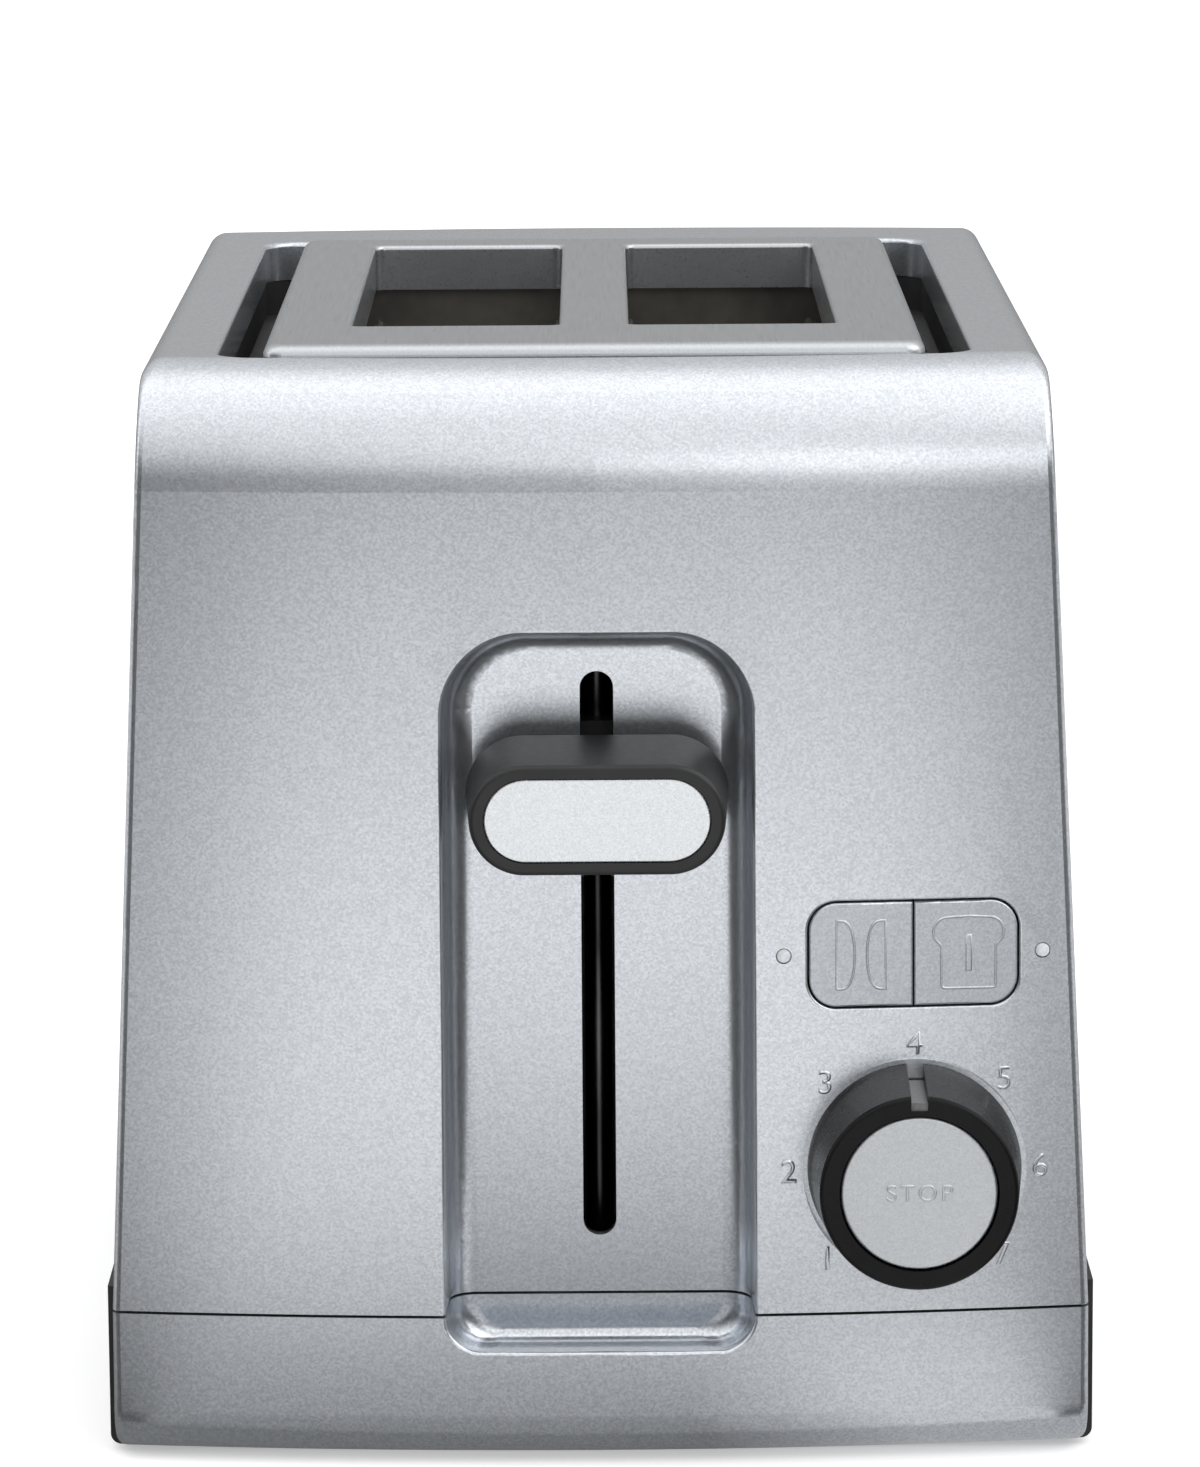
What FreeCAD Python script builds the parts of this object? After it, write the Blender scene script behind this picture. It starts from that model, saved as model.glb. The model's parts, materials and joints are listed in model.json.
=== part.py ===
"""Two-slot pop up toaster, built as separate pieces. Millimetres.

Construction axes: X to the right seen from the front, Y from the front face to the rear, Z up.
Y = 0 is the foot of the front face on the centre line; at export everything moves by -Y_CENTRE,
so the finished toaster stands on Z = 0 with its overall box centred on the origin.
"""
import FreeCAD
import Part
import math
import os

from FreeCAD import Placement, Rotation, Vector

os.makedirs("parts", exist_ok=True)

# ---------------------------------------------------------------- driving dimensions
# outer form
BODY_LENGTH = 262.5
TOP_Z = 198.2
UNDER_Z = 1.2
HALF_WIDTH = 88.1
SIDE_DRAFT = 2.43
FACE_LEAN = 3.0
BOW_RADIUS = 700.0
SOFT_RADIUS = 30.0
CREST_RADIUS = 13.0
CREST_ANGLE = 38.0
UNDER_RADIUS = 8.0
FACE_FOOT_Z = 9.6
FRONT_EDGE = 1.6
TOP_EDGE = 4.0
REAR_EDGE = 7.0
UNDER_EDGE = 2.0
WALL = 2.5
SEAM_Z = 27.8
SEAM_GAP = 0.5
# base
BASE_PROUD = 1.2
BASE_TOP_Z = 31.0
BASE_START_Y = 12.4
FLOOR_UNDER_Z = 3.0
FLOOR_TOP_Z = 6.0
FOOT_RADIUS = 7.5
FOOT_X = 66.0
FOOT_INSET_Y = 30.0
# top opening and slot plate
OPENING_HALF = 67.6
OPENING_FRONT = 25.5
OPENING_REAR = 216.5
OPENING_CORNER = 7.0
RIM_DEPTH = 7.2
PLATE_HALF = 59.5
PLATE_FRONT = 29.7
PLATE_REAR = 203.0
PLATE_TOP_Z = 200.0
PLATE_SHEET = 1.0
SLOT_CENTRE_X = 25.4
SLOT_HALF_WIDTH = 19.0
SLOT_FRONT = 58.0
SLOT_REAR = 190.0
FLANGE_Z = 191.0
# lever recess
RECESS_FLOOR_Y = 17.5
RECESS_HALF = 27.9
RECESS_DRAFT = 0.045
RECESS_TOP_Z = 151.3
RECESS_LIP_Z = 21.4
RECESS_LIP_BACK = 3.2
RECESS_BOTTOM_Z = 18.9
RECESS_TOP_CORNER = 14.5
RECESS_BOTTOM_CORNER = 6.6
RECESS_SIDE_FILLET = 4.8
RECESS_TOP_FILLET = 4.0
RECESS_SCOOP = 2.6
RECESS_WALL = 2.0
RECESS_EDGE = 0.7
LEVER_SLOT_HALF = 3.0
LEVER_SLOT_BOTTOM = 38.6
LEVER_SLOT_TOP = 142.7
# lever and carriage
LEVER_Z = 122.0
GRIP_FRONT_Y = -12.0
GRIP_FRONT_Z = 121.3
GRIP_FRONT_HALF = 22.5
GRIP_FRONT_HEIGHT = 19.6
GRIP_BACK_Y = 10.0
GRIP_BACK_Z = 122.6
GRIP_BACK_HALF = 23.5
GRIP_BACK_HEIGHT = 20.6
INSERT_HALF = 19.9
INSERT_HEIGHT = 14.8
STEM_HALF = 2.1
STEM_HEIGHT = 8.0
CARRIAGE_DROP = 75.0
CARRIAGE_LIFT = 14.0
ROD_Y = 34.0
ROD_RADIUS = 2.5
RUNNING_CLEARANCE = 0.05
# controls
BUTTONS_X = 56.3
BUTTONS_Z = 93.0
BUTTONS_WIDTH = 38.0
BUTTONS_HEIGHT = 19.4
BUTTONS_CORNER = 5.3
BUTTON_GAP = 0.35
WINDOW_EDGE = 0.4
BUTTON_DEPTH = 4.0
LED_X = (33.1, 79.5)
LED_RADIUS = 1.25
DIAL_X = 56.5
DIAL_Z = 54.0
DIAL_SEAT_Y = 5.0
DIAL_SEAT_RADIUS = 20.1
DIAL_BASE_RADIUS = 19.2
DIAL_FRONT_RADIUS = 17.6
DIAL_HEIGHT = 18.2
CAP_RADIUS = 13.85
CAP_BACK = 15.4
CAP_THICKNESS = 2.7
CAP_TRAVEL = 1.5
SHAFT_RADIUS = 4.5
BORE_GAP = 0.4
# control board, measured back from the dial's seat and round the dial's centre
BOARD_BACK = -23.6
BOARD_FRONT = -22.0
BOARD_HALF = 24.0
BOARD_LOW = -21.0
BOARD_HIGH = 60.0
BOARD_SCREW_X = 20.5
BOARD_SCREW_LOW = -17.0
BOARD_SCREW_HIGH = 56.5
POST_RADIUS = 3.0
# toasting chamber
CHAMBER_FRONT = 53.0
CHAMBER_REAR = 195.0
SHEET = 0.8
CHAMBER_HALF = 56.0
REFLECTOR_X = 54.0
CARD_X = 50.0
CARD_HALF = 0.4
GUIDE_OFFSET = 18.3
GUIDE_PIVOT_Z = 20.0
GUIDE_TOP_Z = 184.0
TAB_LOW_Z = 12.5
TAB_HIGH_Z = 178.0
TAB_SHEET = 1.2
PIVOT_RADIUS = 1.0
RACK_TOP_Z = 106.5
# crumb tray and mains inlet
TRAY_HALF = 52.0
TRAY_Z = 8.0
HANDLE_HALF = 58.0
HANDLE_LIP = 7.0
INLET_X = 71.5
INLET_Z = 19.5
INLET_BORE = 3.8
# the overall box runs from the front of the lever grip and dial to the tray's finger lip
Y_CENTRE = 0.5 * (-13.3 + BODY_LENGTH + HANDLE_LIP + 0.5)


# ---------------------------------------------------------------- small helpers
def block(x0, x1, y0, y1, z0, z1):
    return Part.makeBox(x1 - x0, y1 - y0, z1 - z0, Vector(x0, y0, z0))


def rod(start, direction, radius, length):
    return Part.makeCylinder(radius, length, Vector(*start), Vector(*direction))


def rod_between(start, end, radius):
    a, b = Vector(*start), Vector(*end)
    return Part.makeCylinder(radius, (b - a).Length, a, b - a)


def join(*shapes):
    whole = shapes[0].fuse(list(shapes[1:]))
    return whole.removeSplitter()


def mirrored_x(shape):
    return shape.mirror(Vector(0, 0, 0), Vector(1, 0, 0))


def both_sides(shape):
    return [shape, mirrored_x(shape)]


def solid_of(shape):
    """The single largest solid of a boolean result."""
    return max(shape.Solids, key=lambda s: s.Volume)


def save(name, *shapes):
    moved = []
    for shape in shapes:
        for solid in shape.Solids:
            copy = solid.copy()
            copy.translate(Vector(0, -Y_CENTRE, 0))
            moved.append(copy)
    result = moved[0] if len(moved) == 1 else Part.Compound(moved)
    result.exportStep("parts/" + name + ".step")


def rounded_outline(corners, place):
    """Closed wire through corners (u, v, radius); place turns (u, v) into a point in space."""
    pieces = []
    count = len(corners)
    for i, (u, v, radius) in enumerate(corners):
        corner = Vector(u, v, 0)
        before = Vector(*corners[i - 1][:2], 0) - corner
        after = Vector(*corners[(i + 1) % count][:2], 0) - corner
        before.normalize()
        after.normalize()
        if radius <= 0:
            pieces.append((corner, corner, corner))
            continue
        half = before.getAngle(after) / 2
        reach = radius / math.tan(half)
        middle = (before + after).normalize()
        nearest = corner + middle * (radius / math.sin(half) - radius)
        pieces.append((corner + before * reach, nearest, corner + after * reach))
    edges = []
    for i, (start, nearest, end) in enumerate(pieces):
        if (end - start).Length > 1e-6:
            points = [place(p.x, p.y) for p in (start, nearest, end)]
            edges.append(Part.Arc(*points).toShape())
        following = pieces[(i + 1) % count][0]
        if (following - end).Length > 1e-6:
            edges.append(Part.LineSegment(place(end.x, end.y), place(following.x, following.y)).toShape())
    return Part.Wire(edges)


def on_y(y):
    return lambda u, v: Vector(u, y, v)


def on_z(z):
    return lambda u, v: Vector(u, v, z)


def window(x0, x1, z0, z1, radius, y0, y1):
    """Rounded rectangle in the front view, pushed through from y0 to y1."""
    corners = [(x0, z0, radius), (x1, z0, radius), (x1, z1, radius), (x0, z1, radius)]
    return Part.Face(rounded_outline(corners, on_y(y0))).extrude(Vector(0, y1 - y0, 0))


def plate_blank(x0, x1, y0, y1, radius, z0, z1):
    """Rounded rectangle in the top view, from z0 to z1."""
    corners = [(x0, y0, radius), (x1, y0, radius), (x1, y1, radius), (x0, y1, radius)]
    return Part.Face(rounded_outline(corners, on_z(z0))).extrude(Vector(0, 0, z1 - z0))


def stadium(half_length, height, centre_z, y):
    # a hair under half the height keeps the two end arcs as separate edges
    radius = height / 2 - 0.01
    low, high = centre_z - height / 2, centre_z + height / 2
    corners = [(-half_length, low, radius), (half_length, low, radius),
               (half_length, high, radius), (-half_length, high, radius)]
    return rounded_outline(corners, on_y(y))


def edges_where(shape, test):
    return [edge for edge in shape.Edges if test(edge)]


# ---------------------------------------------------------------- outer form
def face_normal(angle):
    a = math.radians(angle)
    return math.cos(a), -math.sin(a)


def profile_centres():
    """Centres of the three arcs of the side view: under edge, soft upper face, crest."""
    ny, nz = face_normal(FACE_LEAN)
    under = (UNDER_RADIUS * ny, FACE_FOOT_Z + UNDER_RADIUS * nz)
    lean, crest = math.radians(FACE_LEAN), math.radians(CREST_ANGLE)
    rise = SOFT_RADIUS * (math.sin(crest) - math.sin(lean)) + CREST_RADIUS * (1 - math.sin(crest))
    start_z = TOP_Z - rise
    start_y = (start_z - FACE_FOOT_Z) * math.tan(lean)
    soft = (start_y + SOFT_RADIUS * ny, start_z + SOFT_RADIUS * nz)
    cy, cz = face_normal(CREST_ANGLE)
    step = CREST_RADIUS - SOFT_RADIUS
    return under, soft, (soft[0] + step * cy, soft[1] + step * cz)


def bowed_slab(inset):
    """Everything behind the leaning, bowed front face, set in by inset."""
    far = 400.0
    under, soft, crest = profile_centres()

    def at(centre, radius, angle):
        ny, nz = face_normal(angle)
        return Vector(0, centre[0] - (radius - inset) * ny, centre[1] - (radius - inset) * nz)

    def arc(centre, radius, start, end):
        points = [at(centre, radius, a) for a in (start, 0.5 * (start + end), end)]
        return Part.Arc(*points).toShape()

    bottom = at(under, UNDER_RADIUS, -90)
    top = at(crest, CREST_RADIUS, 90)
    corner_top = Vector(0, far, top.z)
    corner_bottom = Vector(0, far, bottom.z)
    edges = [
        arc(under, UNDER_RADIUS, -90, FACE_LEAN),
        Part.LineSegment(at(under, UNDER_RADIUS, FACE_LEAN), at(soft, SOFT_RADIUS, FACE_LEAN)).toShape(),
        arc(soft, SOFT_RADIUS, FACE_LEAN, CREST_ANGLE),
        arc(crest, CREST_RADIUS, CREST_ANGLE, 90),
        Part.LineSegment(top, corner_top).toShape(),
        Part.LineSegment(corner_top, corner_bottom).toShape(),
        Part.LineSegment(corner_bottom, bottom).toShape(),
    ]
    face = Part.Face(Part.Wire(edges))
    pivot, up = Vector(0, BOW_RADIUS, 0), Vector(0, 0, 1)
    face.rotate(pivot, up, -14)
    return face.revolve(pivot, up, 28)


def side_prism(inset, drafted):
    """Front view of the body, with drafted or upright sides, as a long bar along Y."""
    slope = math.tan(math.radians(SIDE_DRAFT)) if drafted else 0.0
    low, high = -20.0, 240.0
    half_low = HALF_WIDTH - inset + (SEAM_Z - low) * slope
    half_high = HALF_WIDTH - inset - (high - SEAM_Z) * slope
    points = [Vector(-half_low, -40, low), Vector(half_low, -40, low),
              Vector(half_high, -40, high), Vector(-half_high, -40, high)]
    return Part.Face(Part.makePolygon(points + points[:1])).extrude(Vector(0, 380, 0))


def body_form(inset=0.0, drafted=True, side_proud=0.0):
    front = bowed_slab(inset)
    rear = front.mirror(Vector(0, BODY_LENGTH / 2, 0), Vector(0, 1, 0))
    return solid_of(front.common(rear).common(side_prism(inset - side_proud, drafted)))


def side_radius(point, rear_edge, top_edge, front_edge):
    """Rounding of the side edges: crisp at the front, softer on top, round at the rear."""
    if point.z < UNDER_Z + WALL + 1:
        return UNDER_EDGE
    if point.z > TOP_Z - WALL - 1:
        return top_edge
    return rear_edge if point.y > BODY_LENGTH / 2 else front_edge


def soften_sides(form, rear_edge=REAR_EDGE, top_edge=TOP_EDGE, front_edge=FRONT_EDGE):
    """Rounds the closed chain of edges round each side face, with a radius that changes on the way.

    Only the left half is kept and mirrored, so that both sides are exactly alike.
    """
    choices = []
    for number, edge in enumerate(form.Edges, 1):
        middle = edge.valueAt(0.5 * (edge.FirstParameter + edge.LastParameter))
        if edge.BoundBox.XLength < 12 and abs(middle.x) > HALF_WIDTH - 16:
            ends = [edge.valueAt(edge.FirstParameter), edge.valueAt(edge.LastParameter)]
            radii = [side_radius(end, rear_edge, top_edge, front_edge) for end in ends]
            choices.append((number, radii[0], radii[1]))
    document = FreeCAD.newDocument()
    base = document.addObject("Part::Feature", "form")
    base.Shape = form
    fillet = document.addObject("Part::Fillet", "softened")
    fillet.Base = base
    fillet.Edges = choices
    document.recompute()
    left = solid_of(fillet.Shape.common(block(-200, 0, -60, 400, -60, 300)))
    FreeCAD.closeDocument(document.Name)
    return solid_of(join(left, mirrored_x(left)))


def band(z0, z1, y0=-40.0, y1=340.0):
    return block(-120, 120, y0, y1, z0, z1)


# ---------------------------------------------------------------- lever recess
def recess_section(y, grow, floor_y, low):
    """Outline of the recess at depth y; the walls turn into the floor along arcs."""
    def turned(fillet):
        into = y - (floor_y - fillet)
        if into <= 0:
            return 0.0
        return fillet - math.sqrt(max(fillet * fillet - into * into, 0.0))

    half = RECESS_HALF + grow - RECESS_DRAFT * y - turned(RECESS_SIDE_FILLET)
    top = RECESS_TOP_Z + grow - RECESS_DRAFT * y - turned(RECESS_TOP_FILLET)
    bottom = low - grow + turned(RECESS_SCOOP)
    top_corner = RECESS_TOP_CORNER + grow - turned(RECESS_TOP_FILLET)
    bottom_corner = RECESS_BOTTOM_CORNER + grow - 0.5 * turned(RECESS_SCOOP)
    corners = [(-half, bottom, bottom_corner), (half, bottom, bottom_corner),
               (half, top, top_corner), (-half, top, top_corner)]
    return rounded_outline(corners, on_y(y))


def recess_tool(grow, floor_y):
    """Solid that fills the recess: the mouth in the face, and the deeper pocket behind its lip."""
    mouth_end = RECESS_LIP_BACK + 1.0
    mouth = Part.makeLoft([recess_section(y, grow, floor_y, RECESS_LIP_Z) for y in (-6.0, mouth_end)], True, True)
    turn = max(RECESS_SIDE_FILLET, RECESS_TOP_FILLET, RECESS_SCOOP)
    depths = [RECESS_LIP_BACK - grow, floor_y - turn]
    steps = 8
    for i in range(1, steps + 1):
        angle = math.radians(90.0 * i / steps)
        depths.append(floor_y - turn * (1 - math.sin(angle)))
    sections = [recess_section(y, grow, floor_y, RECESS_BOTTOM_Z) for y in depths]
    straight = Part.makeLoft(sections[:2], True, True)
    curved = Part.makeLoft(sections[1:], True, False)
    return mouth.fuse(straight).fuse(curved)


def recess_room(half, low, high):
    """Room taken up by the bottom of the recess and its backing."""
    return block(-half, half, 0, RECESS_FLOOR_Y + RECESS_WALL + 1, low, high)


def lever_slot():
    return window(-LEVER_SLOT_HALF, LEVER_SLOT_HALF, LEVER_SLOT_BOTTOM, LEVER_SLOT_TOP,
                  LEVER_SLOT_HALF - 0.01, RECESS_FLOOR_Y - 1, RECESS_FLOOR_Y + RECESS_WALL + 1)


# ---------------------------------------------------------------- dial frame
def face_y(x, z):
    """Depth of the front face at a point of its straight, leaning part."""
    lean = (z - FACE_FOOT_Z) * math.tan(math.radians(FACE_LEAN))
    run = BOW_RADIUS - lean
    return BOW_RADIUS - math.sqrt(run * run - x * x)


def dial_placement():
    """Local Z points straight out to the front, local Y up, local origin on the dial's seat."""
    right, up, outward = Vector(1, 0, 0), Vector(0, 0, 1), Vector(0, -1, 0)
    return Placement(Vector(DIAL_X, DIAL_SEAT_Y, DIAL_Z), Rotation(right, up, outward, "ZXY"))


DIAL = dial_placement()


def in_dial_frame(shape):
    placed = shape.copy()
    placed.Placement = DIAL.multiply(placed.Placement)
    return placed


def dial_rod(radius, low, high):
    return in_dial_frame(Part.makeCylinder(radius, high - low, Vector(0, 0, low)))


def dial_block(x0, x1, y0, y1, z0, z1):
    return in_dial_frame(block(x0, x1, y0, y1, z0, z1))


# ---------------------------------------------------------------- housing
def opening_outline(grow, z):
    """Top opening in plan: straight sides, front and rear edges bowed like the body."""
    half = OPENING_HALF + grow

    def bowed(edge_y, outward):
        radius = BOW_RADIUS - abs(edge_y - (0 if outward < 0 else BODY_LENGTH)) + grow
        centre = edge_y + outward * grow - outward * radius
        return centre + outward * math.sqrt(radius * radius - half * half), edge_y + outward * grow

    front_side, front_mid = bowed(OPENING_FRONT, -1)
    rear_side, rear_mid = bowed(OPENING_REAR, 1)
    edges = [
        Part.Arc(Vector(-half, front_side, z), Vector(0, front_mid, z), Vector(half, front_side, z)).toShape(),
        Part.LineSegment(Vector(half, front_side, z), Vector(half, rear_side, z)).toShape(),
        Part.Arc(Vector(half, rear_side, z), Vector(0, rear_mid, z), Vector(-half, rear_side, z)).toShape(),
        Part.LineSegment(Vector(-half, rear_side, z), Vector(-half, front_side, z)).toShape(),
    ]
    return Part.Wire(edges)


def opening_prism(grow, z0, z1):
    prism = Part.Face(opening_outline(grow, z0)).extrude(Vector(0, 0, z1 - z0))

    def upright(edge):
        box = edge.BoundBox
        return box.ZLength > 0.9 * (z1 - z0) and box.XLength < 0.1 and box.YLength < 0.1
    return prism.makeFillet(OPENING_CORNER + grow, edges_where(prism, upright))


def button_window(inset, y0=-10.0, y1=30.0):
    return window(BUTTONS_X - BUTTONS_WIDTH / 2 + inset, BUTTONS_X + BUTTONS_WIDTH / 2 - inset,
                  BUTTONS_Z - BUTTONS_HEIGHT / 2 + inset, BUTTONS_Z + BUTTONS_HEIGHT / 2 - inset,
                  BUTTONS_CORNER - inset, y0, y1)


def front_shell(drafted):
    """Hollow outer skin with the recess let into it, before it is divided at the seam."""
    outer = soften_sides(body_form(0.0, drafted))
    inner = soften_sides(body_form(WALL, drafted), REAR_EDGE - WALL, TOP_EDGE - WALL, 1.0)
    shell = outer.cut(inner)
    backing = recess_tool(RECESS_WALL, RECESS_FLOOR_Y + RECESS_WALL).common(body_form(1.0, drafted))
    return shell.fuse(backing).cut(recess_tool(0.0, RECESS_FLOOR_Y))


def on_mouth(edge, x, half, low, high):
    """True for an edge of the front face that rings the opening inside the given limits."""
    box = edge.BoundBox
    across = box.XMin > x - half and box.XMax < x + half
    upright = box.ZMin > low and box.ZMax < high
    middle = edge.valueAt(0.5 * (edge.FirstParameter + edge.LastParameter))
    return across and upright and abs(middle.y - face_y(middle.x, middle.z)) < 0.05


def on_recess_mouth(edge):
    return on_mouth(edge, 0.0, RECESS_HALF + 1, RECESS_LIP_Z - 2, RECESS_TOP_Z + 2)


def on_button_mouth(edge):
    half_height = BUTTONS_HEIGHT / 2 + 0.1
    return on_mouth(edge, BUTTONS_X, BUTTONS_WIDTH / 2 + 0.1, BUTTONS_Z - half_height, BUTTONS_Z + half_height)


def board_posts(shell):
    """Posts from the inside of the front wall to the control board, drilled for its screws."""
    end = DIAL_SEAT_Y - BOARD_FRONT
    for sx, sz in board_screw_places():
        x, z = DIAL_X + sx, DIAL_Z + sz
        start = face_y(x, z) + 1.5
        shell = shell.fuse(rod((x, start, z), (0, 1, 0), POST_RADIUS, end - start))
        shell = shell.cut(rod((x, end - 6.0, z), (0, 1, 0), 1.52, 10))
    return shell


def housing_shell():
    shell = front_shell(True)
    rim = opening_prism(2.0, TOP_Z - RIM_DEPTH - 0.5, TOP_Z - 1.0)
    opening = opening_prism(0.0, TOP_Z - 30, TOP_Z + 10)
    shell = shell.fuse(rim).cut(opening)
    shell = shell.common(band(SEAM_Z + SEAM_GAP / 2, 260))
    base_room = band(0, BASE_TOP_Z + 0.4, BASE_START_Y - 0.3)
    base_room = base_room.cut(recess_room(34, 0, 60))
    shell = solid_of(shell.cut(base_room))
    rim_edges = edges_where(shell, lambda e: abs(e.BoundBox.ZMin - TOP_Z) < 0.01 and e.BoundBox.ZLength < 0.01
                            and abs(e.BoundBox.Center.x) < OPENING_HALF + 0.5
                            and e.BoundBox.YMin > OPENING_FRONT - 0.5
                            and e.BoundBox.YMax < OPENING_REAR + 0.5
                            and e.BoundBox.XMax < OPENING_HALF + 0.5)
    shell = shell.makeFillet(0.9, rim_edges)
    shell = shell.makeFillet(RECESS_EDGE, edges_where(shell, on_recess_mouth))
    seat = dial_rod(DIAL_SEAT_RADIUS + 1.5, -2.4, 1.0).common(body_form(1.0))
    boss = dial_rod(DIAL_SEAT_RADIUS, -2.4, 0.0)
    shell = shell.fuse(seat).cut(dial_rod(DIAL_SEAT_RADIUS, 0.0, 12.0)).fuse(boss)
    shell = shell.cut(dial_rod(SHAFT_RADIUS + BORE_GAP, -14, 6))
    shell = solid_of(shell.cut(lever_slot()).cut(button_window(0.0)))
    shell = shell.makeFillet(WINDOW_EDGE, edges_where(shell, on_button_mouth))
    for x in LED_X:
        shell = shell.cut(rod((x, -5, BUTTONS_Z), (0, 1, 0), LED_RADIUS + 0.15, 25))
    return solid_of(board_posts(solid_of(shell)))


def front_skirt():
    shell = front_shell(False)
    top = SEAM_Z - SEAM_GAP / 2
    room = band(0, top, -40, BASE_START_Y - 0.3).fuse(recess_room(32, FACE_FOOT_Z, top))
    skirt = solid_of(shell.common(room).removeSplitter())
    return skirt.makeFillet(RECESS_EDGE, edges_where(skirt, on_recess_mouth))


# ---------------------------------------------------------------- base
def base_tray():
    outer = soften_sides(body_form(0.0, False, BASE_PROUD)).common(band(0, BASE_TOP_Z, BASE_START_Y))
    cavity = soften_sides(body_form(WALL + 0.4, False, BASE_PROUD), REAR_EDGE - WALL, 1.0, 1.0)
    cavity = cavity.common(band(FLOOR_TOP_Z, 100, BASE_START_Y - 1))
    nose = body_form(WALL + 0.3, False).common(band(UNDER_Z, FLOOR_TOP_Z, 4.5, BASE_START_Y + 1))
    hollow = plate_blank(-HALF_WIDTH + 2, HALF_WIDTH - 2, BASE_START_Y - 4, BODY_LENGTH - 13, 3,
                         -1, FLOOR_UNDER_Z)
    tray = outer.cut(cavity).cut(hollow).fuse(nose)
    rails = [block(44, 50, 58, 250, FLOOR_TOP_Z - 0.5, TRAY_Z - 0.1)]
    posts = [block(58, 68, y, y + 10, FLOOR_TOP_Z - 0.5, 14) for y in (48, 190)]
    for piece in rails + posts:
        tray = tray.fuse(both_sides(piece))
    tray = tray.fuse(block(14, 36, 29, 44, FLOOR_TOP_Z - 0.5, 14))
    tray = tray.cut(block(-TRAY_HALF - 1, TRAY_HALF + 1, 240, 280, TRAY_Z - 0.6, TRAY_Z + 5.2))
    tray = tray.cut(rod((INLET_X, 240, INLET_Z), (0, 1, 0), 6.1, 30))
    for i in range(9):
        y = 84 + 13 * i
        tray = tray.cut(plate_blank(-38, 38, y, y + 5, 2.4, -1, 10))
    for x, y in base_screw_places():
        tray = tray.cut(rod((x, y, 0), (0, 0, 1), 3.6, 4.6))
    return solid_of(tray)


def base_screw_places():
    return [(sx * 63.0, y) for sx in (-1, 1) for y in (53.0, 195.0)]


def base_screws():
    screws = []
    for x, y in base_screw_places():
        head = Part.makeCone(2.9, 3.3, 1.6, Vector(x, y, 3.0))
        head = head.cut(block(x - 2, x + 2, y - 0.4, y + 0.4, 2.9, 3.7))
        head = head.cut(block(x - 0.4, x + 0.4, y - 2, y + 2, 2.9, 3.7))
        screws.append(head)
    return screws


def feet():
    pads = []
    for sx in (-1, 1):
        for y in (FOOT_INSET_Y, BODY_LENGTH - FOOT_INSET_Y):
            pad = Part.makeCone(FOOT_RADIUS - 0.8, FOOT_RADIUS, FLOOR_UNDER_Z, Vector(sx * FOOT_X, y, 0))
            rim = edges_where(pad, lambda e: abs(e.BoundBox.ZMax) < 0.01)
            pads.append(pad.makeFillet(0.7, rim))
    return pads


def cord_gland():
    """Bush in the rear wall that the mains lead would pass through."""
    wall_y = BODY_LENGTH - 4.5
    flange = rod((INLET_X, wall_y, INLET_Z), (0, 1, 0), 9.0, 5.0)
    flange = flange.cut(body_form(-0.05, False, BASE_PROUD))
    sleeve = rod((INLET_X, wall_y - 6.0, INLET_Z), (0, 1, 0), 6.0, 8.5)
    nut = rod((INLET_X, wall_y - 6.0, INLET_Z), (0, 1, 0), 8.5, 2.5)
    bush = join(flange, sleeve, nut).cut(rod((INLET_X, 230, INLET_Z), (0, 1, 0), INLET_BORE, 60))
    return solid_of(bush)


def crumb_pan():
    pan = block(-TRAY_HALF, TRAY_HALF, 56, 254, TRAY_Z, TRAY_Z + 3.6)
    pan = pan.cut(block(-TRAY_HALF + 0.8, TRAY_HALF - 0.8, 56.8, 246, TRAY_Z + 0.8, TRAY_Z + 5))
    tongue = block(-TRAY_HALF + 4, TRAY_HALF - 4, 246, 270, TRAY_Z, TRAY_Z + 3.6)
    return join(pan, tongue.common(body_form(-0.15, False)))


def crumb_handle():
    """Bowed cover plate over the tray's slot with a finger lip along it."""
    column = window(-HANDLE_HALF, HANDLE_HALF, 6.2, 27.0, 3.0, BODY_LENGTH - 20, BODY_LENGTH + 20)
    plate = column.common(body_form(-2.8, False)).cut(body_form(-0.15, False))
    plate = solid_of(plate.common(block(-90, 90, 200, 300, 6.2, 27)))
    lip_column = window(-30, 30, 11.0, 15.0, 1.9, BODY_LENGTH - 2, BODY_LENGTH + 20)
    lip = lip_column.common(body_form(-HANDLE_LIP, False)).cut(body_form(-0.6, False))
    lip = max(lip.Solids, key=lambda s: s.CenterOfMass.y)
    return join(plate, lip)


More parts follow.
